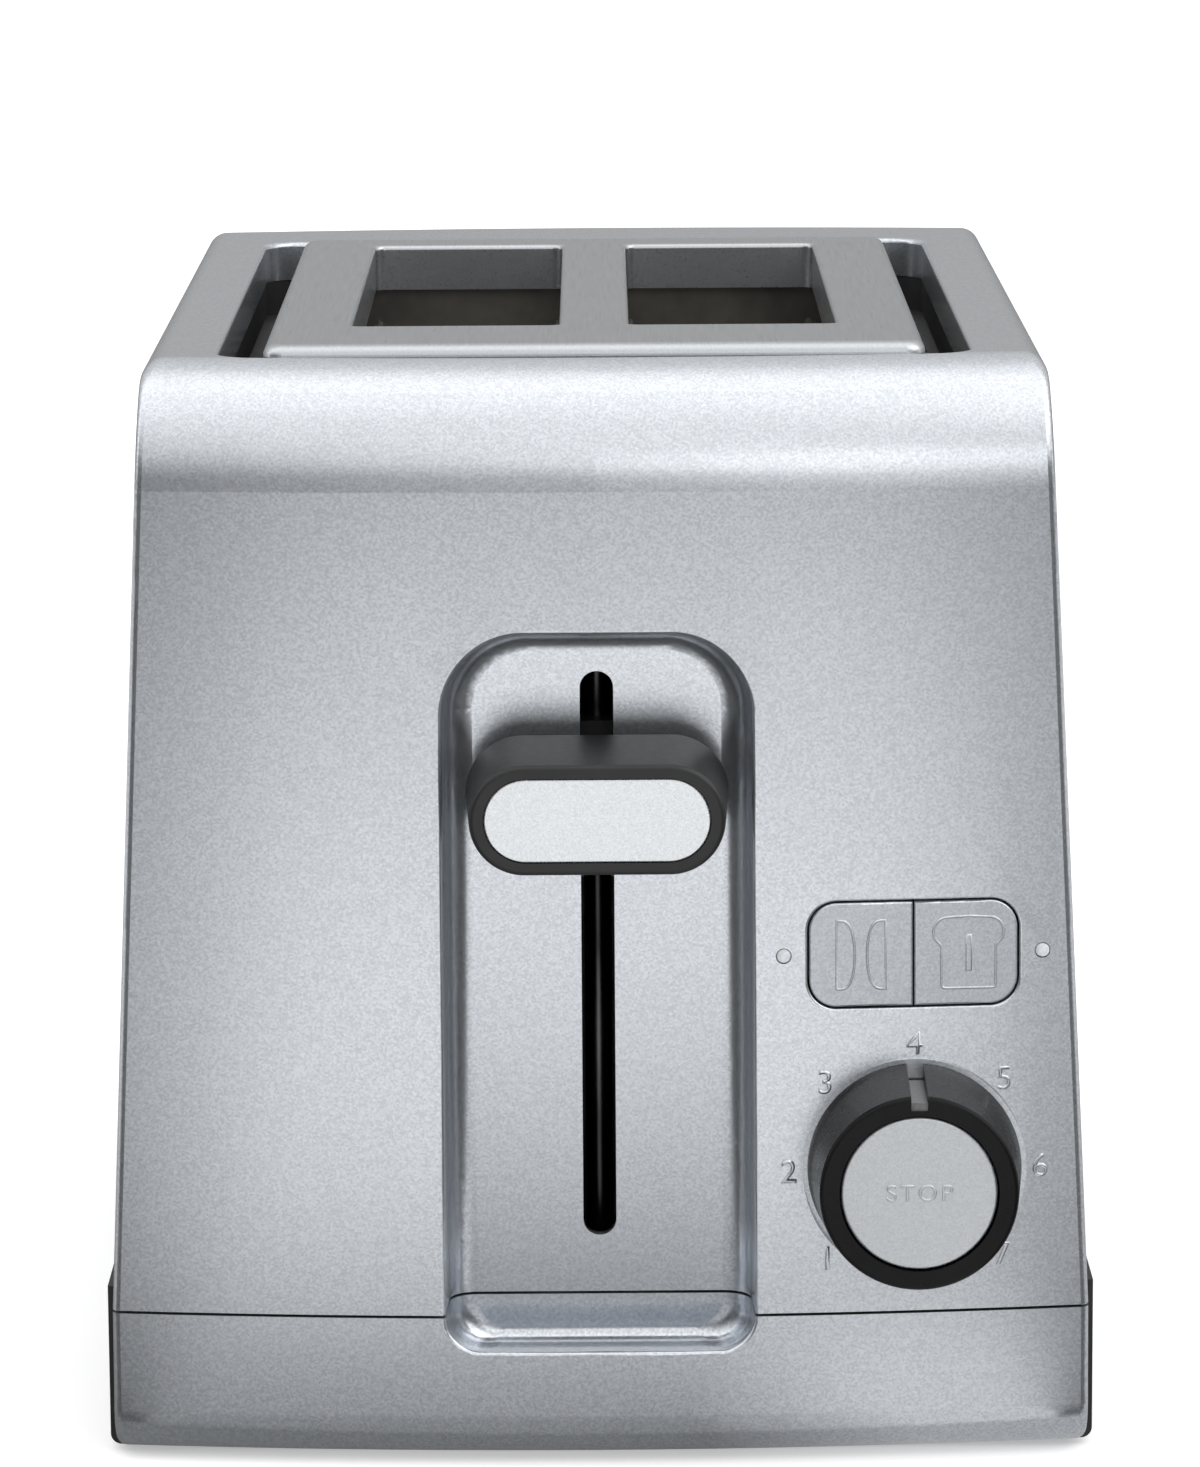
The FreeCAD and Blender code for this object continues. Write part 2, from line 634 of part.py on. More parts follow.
# ---------------------------------------------------------------- top pieces
def slot_plate():
    """Stainless cover with rolled edges and two slots with turned-down flanges."""
    blank = plate_blank(-PLATE_HALF, PLATE_HALF, PLATE_FRONT, PLATE_REAR, 3.5, PLATE_TOP_Z - 5.5, PLATE_TOP_Z)
    top_edges = edges_where(blank, lambda e: e.BoundBox.ZMin > PLATE_TOP_Z - 0.01)
    blank = blank.makeFillet(2.2, top_edges)
    hollow = plate_blank(-PLATE_HALF + PLATE_SHEET, PLATE_HALF - PLATE_SHEET, PLATE_FRONT + PLATE_SHEET,
                         PLATE_REAR - PLATE_SHEET, 2.5, PLATE_TOP_Z - 8, PLATE_TOP_Z - PLATE_SHEET)
    inner_edges = edges_where(hollow, lambda e: e.BoundBox.ZMin > PLATE_TOP_Z - PLATE_SHEET - 0.01)
    plate = blank.cut(hollow.makeFillet(1.2, inner_edges))
    for side in (-1, 1):
        x0 = side * SLOT_CENTRE_X - SLOT_HALF_WIDTH
        x1 = side * SLOT_CENTRE_X + SLOT_HALF_WIDTH
        collar = plate_blank(x0 - PLATE_SHEET, x1 + PLATE_SHEET, SLOT_FRONT - PLATE_SHEET,
                             SLOT_REAR + PLATE_SHEET, 3.0, FLANGE_Z, PLATE_TOP_Z - 0.5)
        mouth = plate_blank(x0, x1, SLOT_FRONT, SLOT_REAR, 2.0, FLANGE_Z - 5, PLATE_TOP_Z + 5)
        plate = plate.fuse(collar).cut(mouth)
    plate = plate.removeSplitter()

    def slot_lip(edge):
        box = edge.BoundBox
        inside = box.YMin > SLOT_FRONT - 0.1 and box.YMax < SLOT_REAR + 0.1
        return box.ZMin > PLATE_TOP_Z - 0.01 and inside and abs(box.Center.x) < PLATE_HALF - 10
    return solid_of(plate.makeFillet(0.9, edges_where(plate, slot_lip)))


def rim_collar():
    """Black collar under the rim: an upright wall and a louvred floor round the chamber."""
    top = TOP_Z - RIM_DEPTH - 0.5
    wall = opening_prism(1.8, 182.0, top).cut(opening_prism(0.2, 180, 200))
    floor = opening_prism(1.8, 182.0, 183.6).cut(block(-57.5, 57.5, 51.2, 196.6, 170, 200))
    collar = wall.fuse(floor)
    for i in range(8):
        y = 62 + 16 * i
        collar = collar.cut(both_sides(plate_blank(60.0, 65.5, y, y + 9, 1.5, 170, 190)))
    return solid_of(collar)


# ---------------------------------------------------------------- chamber
def chamber_plate(y):
    """Sheet wall of the toasting chamber with slots for the racks and holes for the guides."""
    plate = block(-CHAMBER_HALF, CHAMBER_HALF, y, y + SHEET, 14.5, PLATE_TOP_Z - PLATE_SHEET)
    for leg in both_sides(block(CHAMBER_HALF - 2, 67, y, y + SHEET, 14.0, 34)):
        plate = plate.fuse(leg)
    for side in (-1, 1):
        centre = side * SLOT_CENTRE_X
        plate = plate.cut(block(centre - 2, centre + 2, y - 1, y + 2, 22.5, RACK_TOP_Z + 16))
        for hand in (-1, 1):
            x = centre + hand * GUIDE_OFFSET
            plate = plate.cut(rod((x, y - 1, GUIDE_PIVOT_Z), (0, 1, 0), PIVOT_RADIUS + RUNNING_CLEARANCE, 3))
    return plate


def chamber_front_plate():
    plate = chamber_plate(CHAMBER_FRONT - SHEET)
    for z in (TAB_LOW_Z, TAB_HIGH_Z):
        tab = block(-12, 12, ROD_Y - 7, CHAMBER_FRONT - SHEET + 0.1, z, z + TAB_SHEET)
        plate = plate.fuse(tab)
        plate = plate.cut(rod((0, ROD_Y, z - 1), (0, 0, 1), ROD_RADIUS + 0.02, 4))
    plate = plate.fuse(block(-12, 12, CHAMBER_FRONT - SHEET, CHAMBER_FRONT, TAB_LOW_Z, 15))
    return solid_of(plate)


def chamber_rear_plate():
    return solid_of(chamber_plate(CHAMBER_REAR))


def side_reflector(side):
    x0, x1 = sorted((side * REFLECTOR_X, side * (REFLECTOR_X + SHEET)))
    sheet = block(x0, x1, CHAMBER_FRONT, CHAMBER_REAR, 15, 187)
    f0, f1 = sorted((side * REFLECTOR_X, side * 61.0))
    flange = block(f0, f1, CHAMBER_FRONT, CHAMBER_REAR, 186.2, 187)
    foot = block(f0, f1, CHAMBER_FRONT, CHAMBER_REAR, 15, 15.8)
    ribs = []
    for i in range(5):
        y = CHAMBER_FRONT + 18 + 25 * i
        ribs.append(rod((side * (REFLECTOR_X + 0.4), y, 24), (0, 0, 1), 1.4, 154))
    return join(sheet, flange, foot, *ribs)


def heater_card(x):
    """Mica card with notches in both long edges for its winding."""
    card = block(x - CARD_HALF, x + CARD_HALF, CHAMBER_FRONT, CHAMBER_REAR, 30, 180)
    for z in winding_rows():
        for y in (CHAMBER_FRONT + 5, CHAMBER_REAR - 5):
            card = card.cut(block(x - 2, x + 2, y - 1.2, y + 1.2, z - 1.2, z + 1.2))
    return card


def winding_rows():
    return [42 + 14 * i for i in range(10)]


def heater_winding(x, face):
    """Flat ribbon that runs to and fro over one face of a card."""
    inner, outer = sorted((x + face * (CARD_HALF + 0.02), x + face * (CARD_HALF + 0.42)))
    rows = winding_rows()
    y0, y1 = CHAMBER_FRONT + 8, CHAMBER_REAR - 8
    ribbon = [block(inner, outer, y0, y1, z - 0.9, z + 0.9) for z in rows]
    for i in range(len(rows) - 1):
        y = y1 - 1.8 if i % 2 == 0 else y0
        ribbon.append(block(inner, outer, y, y + 1.8, rows[i], rows[i + 1]))
    ribbon.append(block(inner, outer, y0, y0 + 1.8, 33, rows[0]))
    return join(*ribbon)


def bread_guide(centre_x, hand):
    """Welded wire frame that tips towards the bread about its lowest wire."""
    x = centre_x + hand * GUIDE_OFFSET
    y0, y1 = SLOT_FRONT + 3, SLOT_REAR - 3
    wires = [rod_between((x, CHAMBER_FRONT - 4, GUIDE_PIVOT_Z), (x, CHAMBER_REAR + 4, GUIDE_PIVOT_Z),
                         PIVOT_RADIUS)]
    wires.append(rod_between((x, y0 - 1, GUIDE_TOP_Z), (x, y1 + 1, GUIDE_TOP_Z), 0.9))
    for z in (74.0, 130.0):
        wires.append(rod_between((x, y0 - 1, z), (x, y1 + 1, z), 0.75))
    count = 7
    for i in range(count):
        y = y0 + (y1 - y0) * i / (count - 1)
        wires.append(rod_between((x, y, GUIDE_PIVOT_Z), (x, y, GUIDE_TOP_Z), 0.8))
    return join(*wires)


# ---------------------------------------------------------------- carriage
def bread_rack(centre_x):
    """Ladder-shaped rack: an upright spine through both chamber plates and rungs with turned-up tips."""
    spine = block(centre_x - 1, centre_x + 1, 46.2, CHAMBER_REAR + 5, RACK_TOP_Z - 6.5, RACK_TOP_Z)
    pieces = [spine]
    for i in range(8):
        y = 62 + 17.4 * i
        pieces.append(block(centre_x - 8.5, centre_x + 8.5, y, y + 2.4, RACK_TOP_Z - 1.8, RACK_TOP_Z))
        for hand in (-1, 1):
            tip = centre_x + hand * 7.9
            pieces.append(block(tip - 0.6, tip + 0.6, y, y + 2.4, RACK_TOP_Z - 1.8, RACK_TOP_Z + 3))
    pieces.append(block(centre_x - 6, centre_x + 6, 46.2, 47.4, RACK_TOP_Z - 6.5, RACK_TOP_Z + 4))
    return join(*pieces)


def carriage_arm():
    arm = block(-34, 34, 44.2, 46.2, 99.5, 121)
    for edge_x in (-34, 34):
        arm = arm.makeFillet(4, edges_where(arm, lambda e: e.BoundBox.YLength > 1.9
                                            and e.BoundBox.ZLength < 0.1 and abs(e.BoundBox.Center.x - edge_x) < 0.1))
    for x in (-14, 14):
        arm = arm.cut(rod((x, 40, 110), (0, 1, 0), 3.0, 10))
    return arm


def carriage_block():
    body = block(-13, 13, 26.5, 44.2, LEVER_Z - 10, LEVER_Z + 10)
    corners = edges_where(body, lambda e: e.BoundBox.ZLength > 19)
    body = body.makeFillet(2.5, corners[:])
    wing = block(10, 36, 31.5, 44.2, LEVER_Z - 10, LEVER_Z - 4.5)
    body = body.fuse(wing)
    bore = rod((0, ROD_Y, LEVER_Z - 20), (0, 0, 1), ROD_RADIUS + RUNNING_CLEARANCE, 40)
    return solid_of(body.cut(bore))


def lever_stem():
    """Flat steel tongue from inside the grip to the face of the carriage block."""
    half = STEM_HEIGHT / 2
    stem = block(-STEM_HALF, STEM_HALF, -2.0, 26.5, LEVER_Z - half, LEVER_Z + half)
    return stem.makeFillet(1.0, edges_where(stem, lambda e: e.BoundBox.YLength > 20))


def lever_grip():
    front = stadium(GRIP_FRONT_HALF, GRIP_FRONT_HEIGHT, GRIP_FRONT_Z, GRIP_FRONT_Y)
    back = stadium(GRIP_BACK_HALF, GRIP_BACK_HEIGHT, GRIP_BACK_Z, GRIP_BACK_Y)
    grip = Part.makeLoft([front, back], True, True)
    ends = edges_where(grip, lambda e: abs(e.BoundBox.YMin - GRIP_FRONT_Y) < 0.01 and e.BoundBox.YLength < 0.01)
    grip = grip.makeFillet(0.9, ends)
    tail = edges_where(grip, lambda e: abs(e.BoundBox.YMax - GRIP_BACK_Y) < 0.01 and e.BoundBox.YLength < 0.01)
    grip = grip.makeFillet(1.6, tail)
    pocket = Part.Face(stadium(INSERT_HALF + 0.1, INSERT_HEIGHT + 0.2, GRIP_FRONT_Z, GRIP_FRONT_Y - 1))
    grip = grip.cut(pocket.extrude(Vector(0, 2.4, 0)))
    half = STEM_HEIGHT / 2
    socket = block(-STEM_HALF - 0.02, STEM_HALF + 0.02, -2.0, 20, LEVER_Z - half - 0.02, LEVER_Z + half + 0.02)
    return solid_of(grip.cut(socket))


def lever_insert():
    face = Part.Face(stadium(INSERT_HALF, INSERT_HEIGHT, GRIP_FRONT_Z, GRIP_FRONT_Y + 0.15))
    badge = face.extrude(Vector(0, 1.25, 0))
    front = edges_where(badge, lambda e: e.BoundBox.YMax < GRIP_FRONT_Y + 0.16)
    return badge.makeFillet(0.3, front)


def armature_plate():
    plate = block(16, 35, 31.5, 44, LEVER_Z - 12.8, LEVER_Z - 10)
    return plate.makeFillet(1.5, edges_where(plate, lambda e: e.BoundBox.ZLength > 2.5))


def carriage_guide_rod():
    low = TAB_LOW_Z - 3.5
    shaft = rod((0, ROD_Y, low), (0, 0, 1), ROD_RADIUS, TAB_HIGH_Z + 3.0 - low)
    return shaft.makeChamfer(0.6, edges_where(shaft, lambda e: e.BoundBox.ZLength < 0.01))


def carriage_spring():
    """Extension spring from the carriage block up to the tab on the chamber's front plate."""
    low, high = LEVER_Z + 10.2, TAB_HIGH_Z - 0.2
    turns = 15
    radius, wire = 3.0, 0.5
    height = high - low - 2 * wire
    helix = Part.makeHelix(height / turns, height, radius)
    section = Part.Wire(Part.makeCircle(wire, Vector(radius, 0, 0), Vector(0, 1, 0)))
    coil = Part.Wire(helix.Edges).makePipeShell([section], True, True)
    coil.translate(Vector(8.5, ROD_Y + 1.5, low + wire))
    return coil


# ---------------------------------------------------------------- magnet and electrics
def magnet_yoke():
    x0, y0, y1, z0 = 16.0, 31.5, 41.5, 14.0
    top = LEVER_Z - 12.8 - CARRIAGE_DROP - 0.3
    pieces = [block(x0, x0 + 19, y0, y1, z0, z0 + 3.5)]
    for x, width in ((x0, 3.5), (x0 + 7.5, 4.0), (x0 + 15.5, 3.5)):
        pieces.append(block(x, x + width, y0, y1, z0, top))
    return join(*pieces)


def magnet_coil():
    body = block(20.0, 31.0, 29.2, 43.8, 18.0, 31.0)
    body = body.makeFillet(1.6, edges_where(body, lambda e: e.BoundBox.ZLength > 12))
    groove = block(19, 32, 28, 45, 19.6, 29.4).cut(block(20.8, 30.2, 30.0, 43.0, 19, 30))
    return body.cut(groove).cut(block(23.4, 27.6, 31.4, 41.6, 10, 40))


def contact_block():
    return join(block(-37, -15, 29, 45, FLOOR_TOP_Z, 16), block(-35, -17, 33, 41, 16, 19))


def power_contacts():
    leaves = []
    for x in (-34.0, -24.0):
        lower = block(x, x + 6, 30, 44, 19.0, 19.6)
        riser = block(x, x + 6, 43.4, 44, 19.0, 25.0)
        upper = block(x, x + 6, 30, 44, 24.4, 25.0)
        rivet = rod((x + 3, 34, 22.4), (0, 0, 1), 1.6, 2.4)
        leaves.append(join(lower, riser, upper, rivet))
    return leaves


def control_board():
    board = dial_block(-BOARD_HALF, BOARD_HALF, BOARD_LOW, BOARD_HIGH, BOARD_BACK, BOARD_FRONT)
    for x, y in board_screw_places():
        board = board.cut(in_dial_frame(Part.makeCylinder(1.7, 10, Vector(x, y, BOARD_BACK - 5))))
    return board


def board_screw_places():
    return [(sx * BOARD_SCREW_X, y) for sx in (-1, 1) for y in (BOARD_SCREW_LOW, BOARD_SCREW_HIGH)]


def board_screws():
    screws = []
    for x, y in board_screw_places():
        head = Part.makeCylinder(2.8, 1.8, Vector(x, y, BOARD_BACK - 1.9))
        head = head.fuse(Part.makeCylinder(1.5, 8.0, Vector(x, y, BOARD_BACK - 1.0)))
        head = head.cut(block(x - 2, x + 2, y - 0.4, y + 0.4, BOARD_BACK - 3, BOARD_BACK - 1.2))
        screws.append(in_dial_frame(head))
    return screws


def board_relay():
    body = block(-20, -4, 26, 36, BOARD_BACK - 12, BOARD_BACK)
    return in_dial_frame(body.makeFillet(0.8, body.Edges))


def board_capacitor():
    can = Part.makeCylinder(4.0, 12.0, Vector(10, 30, BOARD_BACK - 12))
    return in_dial_frame(can.makeFillet(0.8, edges_where(can, lambda e: e.BoundBox.ZLength < 0.01)))


def dial_potentiometer():
    """Ring-shaped control that the hollow dial shaft turns; the push cap's rod runs through it."""
    body = dial_block(-9, 9, -9, 9, -14.5, -7.5).cut(dial_rod(SHAFT_RADIUS + BORE_GAP, -20, 0))
    legs = [dial_block(x, x + 1.5, -8.6, -8.0, BOARD_FRONT, -14.4) for x in (-7.5, -0.75, 6)]
    return join(body, *legs)


def button_stem_x(side):
    return BUTTONS_X + side * BUTTONS_WIDTH / 4


def push_switches():
    """One switch behind the push cap and one behind each button, each with a well for its plunger."""
    stop = dial_block(-3.5, 3.5, -3.5, 3.5, BOARD_FRONT, BOARD_FRONT + 3.2)
    stop = stop.cut(dial_rod(2.9, BOARD_FRONT + 0.8, BOARD_FRONT + 6))
    switches = [stop]
    for side in (-1, 1):
        x = side * BUTTONS_WIDTH / 4
        y = BUTTONS_Z - DIAL_Z
        body = dial_block(x - 4.5, x + 4.5, y - 4.5, y + 4.5, BOARD_FRONT, BOARD_FRONT + 4.2)
        well = rod((button_stem_x(side), 0, BUTTONS_Z), (0, 1, 0), 2.6, 60)
        floor = dial_block(x - 6, x + 6, y - 6, y + 6, BOARD_FRONT - 2, BOARD_FRONT + 0.8)
        switches.append(body.cut(well.cut(floor)))
    return switches


def indicator_lamp(x):
    """Clear light pipe from the board to a small dome in the front face."""
    face = face_y(x, BUTTONS_Z)
    pipe = rod((x, face + 0.2, BUTTONS_Z), (0, 1, 0), LED_RADIUS, DIAL_SEAT_Y - BOARD_FRONT - 0.1 - face - 0.2)
    dome = Part.makeSphere(2.0, Vector(x, face + 1.75, BUTTONS_Z))
    dome = dome.common(rod((x, face - 3, BUTTONS_Z), (0, 1, 0), LED_RADIUS, 4.5))
    collar = rod((x, face + 4, BUTTONS_Z), (0, 1, 0), 2.4, 2.0)
    return join(pipe, dome, collar)


def push_button(side):
    """Half of the button pair: the cap follows the bowed face and carries a stem to its switch."""
    skin = body_form(0.0).cut(body_form(BUTTON_DEPTH))
    cap = skin.common(button_window(BUTTON_GAP))
    middle = 0.16
    if side < 0:
        cap = cap.common(block(0, BUTTONS_X - middle, -20, 60, 60, 130))
    else:
        cap = cap.common(block(BUTTONS_X + middle, 120, -20, 60, 60, 130))
    cap = solid_of(cap)
    outer = []
    for edge in cap.Edges:
        point = edge.valueAt(0.5 * (edge.FirstParameter + edge.LastParameter))
        if abs(point.y - face_y(point.x, point.z)) < 0.05:
            outer.append(edge)
    cap = cap.makeFillet(0.35, outer)
    x = button_stem_x(side)
    start = face_y(x, BUTTONS_Z) + BUTTON_DEPTH - 0.5
    stem = rod((x, start, BUTTONS_Z), (0, 1, 0), 2.0, button_switch_face(side) - start - 0.5)
    return join(cap, stem)


def button_switch_face(side):
    """Depth of the front of a button's switch, on the stem's axis."""
    local = Vector(side * BUTTONS_WIDTH / 4, BUTTONS_Z - DIAL_Z, BOARD_FRONT + 4.2)
    return DIAL.multVec(local).y


def terminal_block():
    body = block(62, 80, 226, 240, FLOOR_TOP_Z, 16)
    for x in (65.5, 71.0, 76.5):
        body = body.cut(rod((x, 233, 10), (0, 0, 1), 1.7, 10))
    return body


def lead(points, bend, radius):
    """Insulated wire along straight runs joined by arcs."""
    nodes = [Vector(*p) for p in points]
    edges = []
    start = nodes[0]
    for i in range(1, len(nodes) - 1):
        before = (nodes[i - 1] - nodes[i]).normalize()
        after = (nodes[i + 1] - nodes[i]).normalize()
        half = before.getAngle(after) / 2
        reach = bend / math.tan(half)
        a, b = nodes[i] + before * reach, nodes[i] + after * reach
        middle = nodes[i] + (before + after).normalize() * (bend / math.sin(half) - bend)
        edges.append(Part.LineSegment(start, a).toShape())
        edges.append(Part.Arc(a, middle, b).toShape())
        start = b
    edges.append(Part.LineSegment(start, nodes[-1]).toShape())
    direction = nodes[1] - nodes[0]
    section = Part.Wire(Part.makeCircle(radius, nodes[0], direction))
    return Part.Wire(edges).makePipeShell([section], True, True)


def mains_leads():
    """Two leads from the terminal block along the right wall and across behind the skirt."""
    leads = []
    level = FLOOR_TOP_Z + 3.0
    for side_x, front_y, end_x in ((78.0, 21.5, -32.0), (74.0, 24.5, -22.0)):
        route = [(side_x, 225.9, level), (side_x, front_y, level), (end_x, front_y, level), (end_x, 28.9, level)]
        leads.append(lead(route, 4.0, 1.4))
    return leads


# ---------------------------------------------------------------- dial and stop cap
def dial_knob():
    body = Part.makeCone(DIAL_BASE_RADIUS, DIAL_FRONT_RADIUS, DIAL_HEIGHT, Vector(0, 0, 0.3))
    body = body.makeFillet(0.9, edges_where(body, lambda e: e.BoundBox.ZMin > DIAL_HEIGHT))
    body = body.cut(Part.makeCylinder(CAP_RADIUS + 0.3, 10, Vector(0, 0, CAP_BACK - 2.1)))
    body = body.cut(Part.makeCylinder(2.5 + BORE_GAP, 30, Vector(0, 0, -5)))
    body = body.cut(Part.makeCylinder(SHAFT_RADIUS + 0.02, 6.0, Vector(0, 0, -0.1)))
    body = body.cut(Part.makeCylinder(16.5, 8.0, Vector(0, 0, -0.5)).cut(Part.makeCylinder(7.5, 9, Vector(0, 0, -1))))
    notch = block(-1.5, 1.5, 14.9, 22, -1, 30)
    return solid_of(in_dial_frame(body.cut(notch)))


def dial_pointer():
    """Grey marker set into the notch in the knob's rim."""
    marker = block(-1.48, 1.48, 14.92, 16.4, 1.0, DIAL_HEIGHT - 0.4)
    return in_dial_frame(marker)


def dial_shaft():
    shaft = Part.makeCylinder(SHAFT_RADIUS, 20.4, Vector(0, 0, -14.6))
    shaft = shaft.cut(Part.makeCylinder(2.5 + BORE_GAP, 40, Vector(0, 0, -20)))
    return in_dial_frame(shaft)


def stop_cap():
    """Silver push cap in the middle of the dial, with the rod that reaches its switch."""
    disc = Part.makeCylinder(CAP_RADIUS, CAP_THICKNESS, Vector(0, 0, CAP_BACK))
    disc = disc.makeFillet(0.5, edges_where(disc, lambda e: e.BoundBox.ZMin > CAP_BACK + 0.9 * CAP_THICKNESS))
    stem = Part.makeCylinder(2.5, CAP_BACK + 19.2, Vector(0, 0, -19.2))
    return in_dial_frame(join(disc, stem))


# ---------------------------------------------------------------- build
def build():
    save("housing_shell", housing_shell())
    save("front_skirt", front_skirt())
    save("base_tray", base_tray())
    save("base_screws", *base_screws())
    save("feet", *feet())
    save("cord_gland", cord_gland())
    save("slot_plate", slot_plate())
    save("rim_collar", rim_collar())
    save("chamber_front_plate", chamber_front_plate())
    save("chamber_rear_plate", chamber_rear_plate())
    for name, side in (("left", -1), ("right", 1)):
        save("side_reflector_" + name, side_reflector(side))
        save("heater_card_" + name, heater_card(side * CARD_X))
        save("heater_winding_" + name, heater_winding(side * CARD_X, -side))
        save("bread_rack_" + name, bread_rack(side * SLOT_CENTRE_X))
        save("bread_guide_" + name + "_outer", bread_guide(side * SLOT_CENTRE_X, side))
        save("bread_guide_" + name + "_inner", bread_guide(side * SLOT_CENTRE_X, -side))
    save("heater_card_centre", heater_card(0.0))
    save("heater_winding_centre", heater_winding(0.0, -1), heater_winding(0.0, 1))
    save("carriage_block", carriage_block())
    save("carriage_arm", carriage_arm())
    save("lever_stem", lever_stem())
    save("lever_grip", lever_grip())
    save("lever_insert", lever_insert())
    save("armature_plate", armature_plate())
    save("carriage_guide_rod", carriage_guide_rod())
    save("carriage_spring", carriage_spring())
    save("magnet_yoke", magnet_yoke())
    save("magnet_coil", magnet_coil())
    save("contact_block", contact_block())
    save("power_contacts", *power_contacts())
    save("control_board", control_board())
    save("board_screws", *board_screws())
    save("board_relay", board_relay())
    save("board_capacitor", board_capacitor())
    save("dial_potentiometer", dial_potentiometer())
    save("push_switches", *push_switches())
    save("indicator_lamp_left", indicator_lamp(LED_X[0]))
    save("indicator_lamp_right", indicator_lamp(LED_X[1]))
    save("bagel_button", push_button(-1))
    save("single_slice_button", push_button(1))
    save("terminal_block", terminal_block())
    save("mains_leads", *mains_leads())
    save("dial_knob", dial_knob())
    save("dial_pointer", dial_pointer())
    save("dial_shaft", dial_shaft())
    save("stop_cap", stop_cap())
    save("crumb_pan", crumb_pan())
    save("crumb_handle", crumb_handle())


build()
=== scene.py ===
"""Looks of the two-slot toaster: camera, studio light, finishes and relief marks. Metres."""

import json
import math

import bpy
from mathutils import Matrix, Vector


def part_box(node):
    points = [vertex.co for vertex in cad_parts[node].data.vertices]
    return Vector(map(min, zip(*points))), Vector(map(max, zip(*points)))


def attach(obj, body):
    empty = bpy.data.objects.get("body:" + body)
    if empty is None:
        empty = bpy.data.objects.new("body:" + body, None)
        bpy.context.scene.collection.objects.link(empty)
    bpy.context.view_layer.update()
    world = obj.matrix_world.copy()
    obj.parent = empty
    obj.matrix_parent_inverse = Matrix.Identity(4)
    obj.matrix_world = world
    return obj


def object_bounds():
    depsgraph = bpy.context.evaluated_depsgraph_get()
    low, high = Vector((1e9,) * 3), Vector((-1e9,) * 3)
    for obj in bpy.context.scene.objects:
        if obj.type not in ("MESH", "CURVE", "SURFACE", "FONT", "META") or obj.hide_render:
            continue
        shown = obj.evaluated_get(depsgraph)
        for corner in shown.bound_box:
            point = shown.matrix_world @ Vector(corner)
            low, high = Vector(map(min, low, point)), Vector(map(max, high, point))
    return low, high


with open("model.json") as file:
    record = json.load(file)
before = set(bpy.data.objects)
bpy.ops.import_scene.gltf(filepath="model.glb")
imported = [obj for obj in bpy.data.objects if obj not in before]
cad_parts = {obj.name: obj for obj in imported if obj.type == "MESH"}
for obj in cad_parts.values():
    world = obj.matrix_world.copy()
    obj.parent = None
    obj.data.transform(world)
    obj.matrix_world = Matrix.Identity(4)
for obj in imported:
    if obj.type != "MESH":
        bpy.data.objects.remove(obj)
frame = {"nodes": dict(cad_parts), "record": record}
cad_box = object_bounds()
MM = 0.001

# ---------------------------------------------------------------- camera and studio
CAMERA_PLACE = (0.0006, -1.2337, 0.3441)
CAMERA_PITCH = math.radians(10.73)
CAMERA_ROLL = math.radians(-0.385)
CAMERA_LENS = 156.6
CAMERA_SENSOR = 36.0

WORLD_STRENGTH = 1.5
# Light by degrees over the toaster, from the front horizon (0) over the top (90) to the back (180).
WORLD_SWEEP = ((0, 0.17), (6, 0.24), (18, 0.70), (33, 0.78), (47, 0.75), (60, 0.92), (70, 1.0), (90, 1.0),
               (103, 0.86), (118, 0.60), (150, 0.44), (163, 0.38), (171, 0.26), (180, 0.20))
# Dim walls of the studio, left and right of straight ahead, up to about 40 degrees high.
WORLD_WALL = (0.03, 0.031, 0.033)
WALL_BY_TURN = ((0, 0.0), (7, 0.0), (12, 0.28), (17, 0.78), (22, 1.0), (70, 1.0), (88, 0.0), (180, 0.0))
WALL_BY_HEIGHT = ((0, 1.0), (9, 1.0), (26, 0.4), (44, 0.0), (90, 0.0))
# Soft boxes: the way to each as (x, y, z), and its light by degrees away from its middle.
SOFT_BOXES = (((0.22, -0.945, 0.25), ((0, 0.66), (7, 0.62), (14, 0.0))),
              ((0.70, -0.42, 0.62), ((0, 0.8), (18, 0.7), (30, 0.0))))
SOFT_BOX_REACH = 60.0
# Light of the table by distance from the toaster in metres, and by degrees away from straight ahead.
SHEEN_BY_DISTANCE = ((0.0, 0.24), (0.08, 0.35), (0.16, 0.62), (0.29, 0.95), (0.44, 1.18), (0.8, 1.34),
                     (1.3, 1.32), (1.9, 1.16), (2.5, 0.84), (3.2, 0.46), (4.2, 0.20))
SHEEN_BY_TURN = ((0, 1.0), (9, 1.0), (13, 0.82), (16.5, 0.50), (20, 0.26), (27, 0.07), (60, 0.05),
                 (72, 0.12), (88, 0.60), (180, 0.64))
SHEEN_REACH = 5.0
SHEEN_DEPTH = 0.1 * MM
# Foot of the housing: its front, for distances ahead and for degrees, and its side, for degrees.
HOUSING_FRONT = 0.131
HOUSING_SIDE = 0.085
# The table is also lit close to the toaster's right half: by metres to the right, and by distance.
RIGHT_REACH = 0.3
RIGHT_BY_PLACE = ((0.0, 0.0), (0.02, 0.0), (0.06, 0.5), (RIGHT_REACH, 0.5))
RIGHT_BY_DISTANCE = ((0.0, 1.0), (0.10, 1.0), (0.15, 0.0), (SHEEN_REACH, 0.0))
FLOOR_GLOW = 0.4
FLOOR_HALF = 12.0

